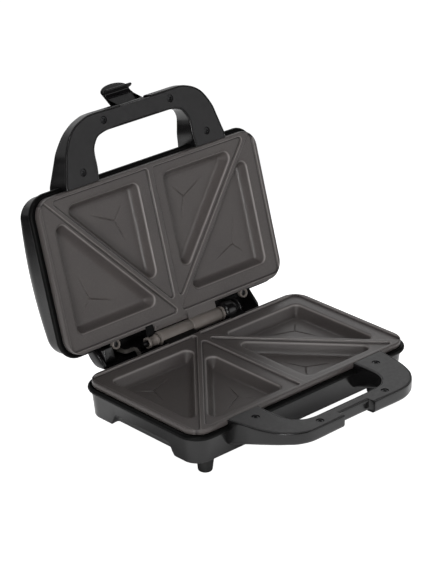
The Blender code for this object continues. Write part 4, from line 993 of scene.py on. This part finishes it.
def shell_section(depth):
    """A rabbet for the cover, a small rounded rim, the wall and the rounded lower edge. The inner side's
    lower edge has a smaller radius."""
    wall_side = [(0, 1.15, 2.7, 0), (0, 1.15, 0.35, 0), (0, 0.95, 0.15, 0), (0, 0.55, 0.12, 0), (0, 0.2, 0.3, 0),
                 (0, 0.0, 0.8, 0), (0, 0.0, 3.0, 0.0), (0, 0.0, 7.0, 0.4)]
    whole = both_sides(wall_side)
    lower_edge = edge_rows(0, 3.2, depth) + edge_rows(1, 2.6, depth)[::-1]
    return whole[:len(wall_side)] + lower_edge + whole[len(wall_side):]


COVER_SECTION = both_sides([(0, 1.4, 1.9, 0), (0, 1.4, 0.5, 0), (0, 1.55, 0.15, 0),
                            (0, 1.9, 0.0, 0), (0, 3.0, 0.0, 0)])
SCREWS = {"lower": ((36.7, -115.1), (68.1, -76.6)), "upper": ((36.4, -110.6), (68.1, -75.2))}

for half, body in (("lower", "base"), ("upper", "lid")):
    outer_curve, inner_curve = handle_curves(half, True)
    shell = capped(carried(shell_section(GRIP_DEPTH[half]), outer_curve, inner_curve, half))
    make_piece(f"{half}_handle_moulding", [shell], half, body, [f"{half}_handle_shell"], black_abs,
               45)
    if half == "upper":
        outer_curve, inner_curve = handle_curves(half, False)
    cover = capped(carried(COVER_SECTION, outer_curve, inner_curve, half))
    make_piece(f"{half}_handle_lining", [cover], half, body, [f"{half}_handle_cover"], grained_abs,
               45)

# %% [markdown]
# ### Screw recesses
#
# The covers' screws sit in shallow round recesses. A recess is cut with a Boolean, because the
# cover's face is flat there and shades well afterwards.

# %% Cut the recesses and set the screws in them
def solid_cylinder(x, y, h, radius, half):
    """A closed cylinder between two h, as a mesh in open metres."""
    points, quads = turned([(0.0, h[0]), (radius, h[0]), (radius, h[1]), (0.0, h[1])], x, y, 32)
    mesh = bpy.data.meshes.new("recess")
    mesh.from_pydata(place(points, half).tolist(), [], quads.tolist())
    merge(mesh, 0.001 * MM)
    return mesh


def cut_recesses(piece, half):
    """Takes four cylinders out of a cover, and bakes the modifier's result into its mesh."""
    cutters = bmesh.new()
    for x, y in SCREWS[half]:
        for side in (-1, 1):
            cutters.from_mesh(solid_cylinder(side * x, y, (-1.0, 1.5), 3.3, half))
    mesh = bpy.data.meshes.new("recesses")
    cutters.to_mesh(mesh)
    cutters.free()
    tool = add_object("recesses", mesh)
    change = piece.modifiers.new("recesses", "BOOLEAN")
    change.operation = "DIFFERENCE"
    change.object = tool
    graph = bpy.context.evaluated_depsgraph_get()
    done = bpy.data.meshes.new_from_object(piece.evaluated_get(graph))
    piece.modifiers.clear()
    piece.data = done
    done.set_sharp_from_angle(angle=math.radians(40))
    bpy.data.objects.remove(tool)
    print(piece.name, "after its recesses:", len(done.polygons))


def screw_head(x, y, radius, top, turn):
    """A pan head with a crossed slot: rings of growing radius whose h follows a low dome, and is pressed
    down where the point lies within half a slot's width of either arm."""
    r = np.array([0.0, 0.25, 0.5, 0.75, 1.0, 1.25, 1.5, 1.75, 2.0, 2.3, 2.6, 2.75, 2.8])[:, None] * radius / 2.8
    a = np.linspace(0, 2 * math.pi, 72, endpoint=False)[None]
    px, py = r * np.cos(a), r * np.sin(a)
    cx = px * math.cos(turn) + py * math.sin(turn)
    cy = -px * math.sin(turn) + py * math.cos(turn)
    slot_share = np.maximum(ease((0.62 - np.abs(cx)) / 0.2), ease((0.62 - np.abs(cy)) / 0.2))
    slot_share = slot_share * ease((1.75 - r) / 0.25)
    h = top + 0.35 * (r / radius) ** 2 + 0.4 * ease((r / radius - 0.93) / 0.07) + 0.9 * slot_share
    rows = np.stack([x + px, y + py, h], -1)
    skirt = np.stack([rows[-1], rows[-1] + [0, 0, 1.2 - (rows[-1, 0, 2] - top)],
                      np.array([x, y, top + 1.2]) + 0 * rows[-1]])
    shank = [(0.0, top + 1.1), (1.3, top + 1.1), (1.3, top + 8.8), (0.9, top + 9.6), (0.0, top + 9.6)]
    return [grid(rows, wrap=True), grid(skirt, wrap=True), turned(shank, x, y, 20)]


for half, body in (("lower", "base"), ("upper", "lid")):
    cut_recesses(bpy.data.objects[f"{half}_handle_lining"], half)
    number = 1
    for side in (-1, 1):
        for x, y in SCREWS[half]:
            turn = 0.5 + 0.7 * number
            make_piece(f"{half}_handle_fixing_{number}", screw_head(side * x, y, 2.8, 0.3, turn), half, body,
                       [f"{half}_handle_screw_{number}"], blackened, 35)
            number += 1
for side, name in ((-1, "left"), (1, "right")):
    make_piece(f"upper_plate_fixing_{name}", screw_head(side * EAR_X, EAR_Y, 2.4, 0.9, 0.4), "upper", "lid",
               [f"upper_plate_screw_{name}"], blackened, 35)

# %% [markdown]
# ## Latch
#
# The latch is one moulded clip: an eye on the pin, a stem, a hooked lip and a rounded tab for a
# finger. Its section in (y, h) of the closed toaster changes with x, because the tab is a half
# ellipse in plan, so one section is worked out for each of some fifty places along x.

# %% Build the latch
def rounded(corners, radii, steps=4):
    """A closed outline with each corner replaced by a circle's arc that touches both its sides."""
    points = []
    for before, corner, after, radius in zip(np.roll(corners, 1, 0), corners, np.roll(corners, -1, 0), radii):
        back = (before - corner) / np.linalg.norm(before - corner)
        ahead = (after - corner) / np.linalg.norm(after - corner)
        half_angle = math.acos(np.clip(back @ ahead, -1, 1)) / 2
        reach = radius / math.tan(half_angle)
        centre = corner + (back + ahead) / np.linalg.norm(back + ahead) * radius / math.sin(half_angle)
        turn = np.linspace(0, 1, steps + 1)[:, None]
        chord = (corner + back * reach) * (1 - turn) + (corner + ahead * reach) * turn - centre
        points.append(centre + chord / np.linalg.norm(chord, axis=1, keepdims=True) * radius)
    return np.vstack(points)


def moved_in(outline, distance):
    """An outline, counter-clockwise, with every point moved to its left, inwards, by a distance."""
    run = np.roll(outline, -1, 0) - np.roll(outline, 1, 0)
    run = run / np.maximum(np.linalg.norm(run, axis=1, keepdims=True), 1e-6)
    return outline + np.column_stack([-run[:, 1], run[:, 0]]) * distance


pin_y, pin_h = LATCH_PIN
STEM_IN, STEM_OUT = -119.1, -121.9
HOOK_TOP, HOOK_FOOT = -12.2, -14.4
LATCH_HALF = 13.4
GROOVE_H = -7.8


def latch_outline(x, drawn):
    """The latch's section in (y, h) at x: the eye round the pin, the stem with its groove, the lip and the
    finger tab, which is a half ellipse in plan."""
    tip = HOOK_FOOT - 1.8 - 5.3 * math.sqrt(max(0.0, 1 - (x / LATCH_HALF) ** 2))
    deep = 1.4 * ease((x + 13.4) / 0.5) * ease((11.2 - x) / 0.6)
    lip = STEM_IN + 4.6
    groove = STEM_IN - deep - 0.02
    corners = [(STEM_OUT, tip), (STEM_IN, tip), (STEM_IN, HOOK_FOOT), (lip, HOOK_FOOT + 0.3),
               (lip, HOOK_TOP - 0.1), (STEM_IN, HOOK_TOP), (STEM_IN, GROOVE_H - 0.45), (groove, GROOVE_H - 0.40),
               (groove, GROOVE_H + 0.40), (STEM_IN, GROOVE_H + 0.45), (STEM_IN, pin_h - 3.4)]
    radii = [1.0, 1.0, 0.5, 0.7, 0.7, 0.8, 0.16, 0.16, 0.16, 0.16, 0.3]
    corners += arc((pin_y, pin_h), 2.8, -100, 100, 12).tolist()
    radii += [0.05] * 13
    corners += [(pin_y - 4.6, pin_h + 1.6), (STEM_OUT, pin_h - 1.6)]
    radii += [0.8, 0.8]
    return moved_in(rounded(np.array(corners), radii, 3), drawn)


turns = np.radians(np.linspace(-78, 78, 41))
stations = [(-LATCH_HALF, 0.55), (-LATCH_HALF + 0.12, 0.2), (-LATCH_HALF + 0.4, 0.0)]
stations += [(x, 0.0) for x in LATCH_HALF * np.sin(turns)]
stations += [(-x, drawn) for x, drawn in stations[2::-1]]
rows = np.stack([np.column_stack([np.full(len(outline), x), outline])
                 for x, outline in ((x, latch_outline(x, drawn)) for x, drawn in stations)])
nub = block((12.6, 15.1), (STEM_IN + 0.8, STEM_IN + 4.4), (HOOK_FOOT + 0.3, HOOK_TOP - 0.1), corner=0.9, edge=0.5)
end_face = [list(range(rows.shape[1]))]
make_piece("latch_clip", [grid(rows, wrap=True), (rows[0], end_face), (rows[-1], end_face), nub], "latch", "latch",
           ["latch"], black_abs, 32)

# %% [markdown]
# ## Feet
#
# Each foot is a tapered rubber stub with a rounded lower edge, turned about its own axis.

# %% Build the feet
foot_places = {"front_left": (-96.3, -50.0), "front_right": (96.3, -50.0),
               "rear_left": (-55.0, 71.2), "rear_right": (55.0, 71.2)}
foot_profile = np.vstack([[(0.0, 27.6), (7.4, 27.6), (7.8, 28.0)], bridge((7.8, 28.0), (5.9, 44.3), 4),
                          arc((4.2, 44.8), 1.7, 8, 80, 5), [(4.2, 46.5), (2.8, 46.5), (2.4, 46.0), (0.0, 46.0)]])
for name, (x, y) in foot_places.items():
    make_piece(f"{name}_foot", [turned(foot_profile, x, y, 56)], "lower", "base", [f"foot_{name}"], rubber)

# %% [markdown]
# ## Finishes of the mechanical nodes that stay
#
# The hidden and small nodes keep their own shapes. Each gets its finish by replacing what stands in
# its material slots.

# %% Finish the remaining nodes
node_finishes = {"hinge_pin": blackened, "latch_pin": zinc, "thermostat": zinc, "terminal_block": terminal,
                 "cord_inlet": grained_abs, "base_lead_sleeve": sleeve, "lid_lead_sleeve": sleeve}
for colour in ("red", "green"):
    node_finishes.update({f"indicator_lens_{colour}": lens_finishes[f"{colour}_lens"],
                          f"indicator_lamp_{colour}": ceramic})
for half in ("lower", "upper"):
    node_finishes.update({f"{half}_heating_element": tube_steel, f"{half}_reflector": bright_sheet,
                          f"{half}_thermal_fuse": ceramic, f"{half}_heater_saddle_left": ceramic,
                          f"{half}_heater_saddle_right": ceramic})
for name, finish in node_finishes.items():
    shape = frame["nodes"][name].data
    shape.materials.clear()
    shape.materials.append(finish)
print("nodes with new finishes:", len(node_finishes))

# %% [markdown]
# ## Floor, light and camera
#
# The photograph has a white ground and light from low soft boxes, more from the front and left than from above.
# The world is dark but for those lights, each a smooth spot round a direction. Most of their strengths started
# from a least-squares fit to the photograph and were then changed; the two small boxes were placed one by one. The
# camera sees a white world and floor, and reflections see the floor pale near the toaster but dark under it.

# %% Floor
floor_mesh = bpy.data.meshes.new("floor")
floor_mesh.from_pydata([(-4, -4, 0), (4, -4, 0), (4, 4, 0), (-4, 4, 0)], [], [(0, 1, 2, 3)])
floor = add_object("floor", floor_mesh)
paper, tree, shader, where = new_finish("white_paper", Roughness=0.9)
floor_mesh.materials.append(paper)


def smooth_step(tree, value, start, end, most=1.0):
    """0 at start, most at end and an S-curve between."""
    return node(tree, "ShaderNodeMapRange", {"Value": value, "From Min": start, "From Max": end, "To Max": most},
                interpolation_type="SMOOTHSTEP").outputs["Result"]


def maths(tree, operation, first, second):
    """One sum, product or maximum of two values."""
    return node(tree, "ShaderNodeMath", {0: first, 1: second}, operation=operation).outputs["Value"]


def length(tree, vector):
    """A vector's length, the root of the sum of its squares."""
    return node(tree, "ShaderNodeVectorMath", {0: vector}, operation="LENGTH").outputs["Value"]


beyond = smooth_step(tree, length(tree, where), 0.34, 0.52)
tree.links.new(blend_colour(tree, beyond, "#fafafa", "#303030"), shader.inputs["Base Color"])
rays = node(tree, "ShaderNodeLightPath").outputs
# Reflections see the floor glow, a painted glow, and the glow fades out under the toaster, a painted shadow there.
squeezed = node(tree, "ShaderNodeMapping", {"Vector": where, "Location": (0, -middle_y, 0), "Scale": (0.55, 1, 1)})
outside_painted_shadow = smooth_step(tree, length(tree, squeezed.outputs["Vector"]), 0.075, 0.105, 0.7)
painted_floor_glow = maths(tree, "MULTIPLY", outside_painted_shadow, maths(tree, "SUBTRACT", 1.0, beyond))
mirrored = maths(tree, "MULTIPLY", rays["Is Glossy Ray"], painted_floor_glow)
tree.links.new(maths(tree, "MAXIMUM", rays["Is Camera Ray"], mirrored), shader.inputs["Emission Strength"])
shader.inputs["Emission Color"].default_value = (1, 1, 1, 1)

# %% World
world = bpy.data.worlds.new("light_tent")
bpy.context.scene.world = world
world.use_nodes = True
tree = world.node_tree
direction = node(tree, "ShaderNodeTexCoord").outputs["Generated"]
total = None
# Azimuth from the front (positive to the right), elevation, strength and size of each soft light. The
# size is the cosine of the angle at which it has faded out; the last two are small, strong boxes.
LIGHTS = [(-150, 8, 0.46, 0.87), (-70, 8, 0.60, 0.87), (-35, 8, 0.85, 0.87), (35, 8, 1.05, 0.87),
          (110, 8, 0.52, 0.87), (150, 8, 0.78, 0.87), (135, 42, 0.67, 0.87), (180, 42, 1.00, 0.87),
          (-52, 3, 18.0, 0.988), (-42, 52, 9.0, 0.985)]
for azimuth, elevation, strength, size in LIGHTS:
    a, e = math.radians(azimuth), math.radians(elevation)
    aim = (math.cos(e) * math.sin(a), -math.cos(e) * math.cos(a), math.sin(e))
    near = node(tree, "ShaderNodeVectorMath", {0: direction, 1: aim}, operation="DOT_PRODUCT").outputs["Value"]
    soft = smooth_step(tree, near, size, 0.7 + 0.3 * size, strength)
    total = soft if total is None else maths(tree, "ADD", total, soft)
rays = node(tree, "ShaderNodeLightPath")
level = node(tree, "ShaderNodeMix", {"Factor": rays.outputs["Is Camera Ray"], "A": total, "B": 1.0})
background = tree.nodes["Background"]
background.inputs["Color"].default_value = (1, 1, 1, 1)
tree.links.new(level.outputs["Result"], background.inputs["Strength"])

# %% Camera, from the fit to the photograph
PHOTO_HEIGHT = 571
camera_data = bpy.data.cameras.new("camera")
camera_data.sensor_width = 36
camera_data.lens = 2389.2 * camera_data.sensor_width / PHOTO_HEIGHT
camera_data.clip_end = 20
# The photograph was measured at pixel corners, half a pixel from their centres.
camera_data.shift_x = -0.5 / PHOTO_HEIGHT
camera_data.shift_y = 0.5 / PHOTO_HEIGHT
camera = add_object("camera", camera_data)
bpy.context.scene.camera = camera
camera.location = (-1.2206, -1.2287 + middle_y, 0.8545 + plate_top)
forward = Vector((0.63064, 0.65550, -0.41546))
right = Vector((0.72103, -0.69291, 0.0012))
upward = right.cross(forward).normalized()
camera.rotation_euler = Matrix((right, upward, -forward)).transposed().to_euler()
bpy.context.scene.view_settings.view_transform = "Standard"
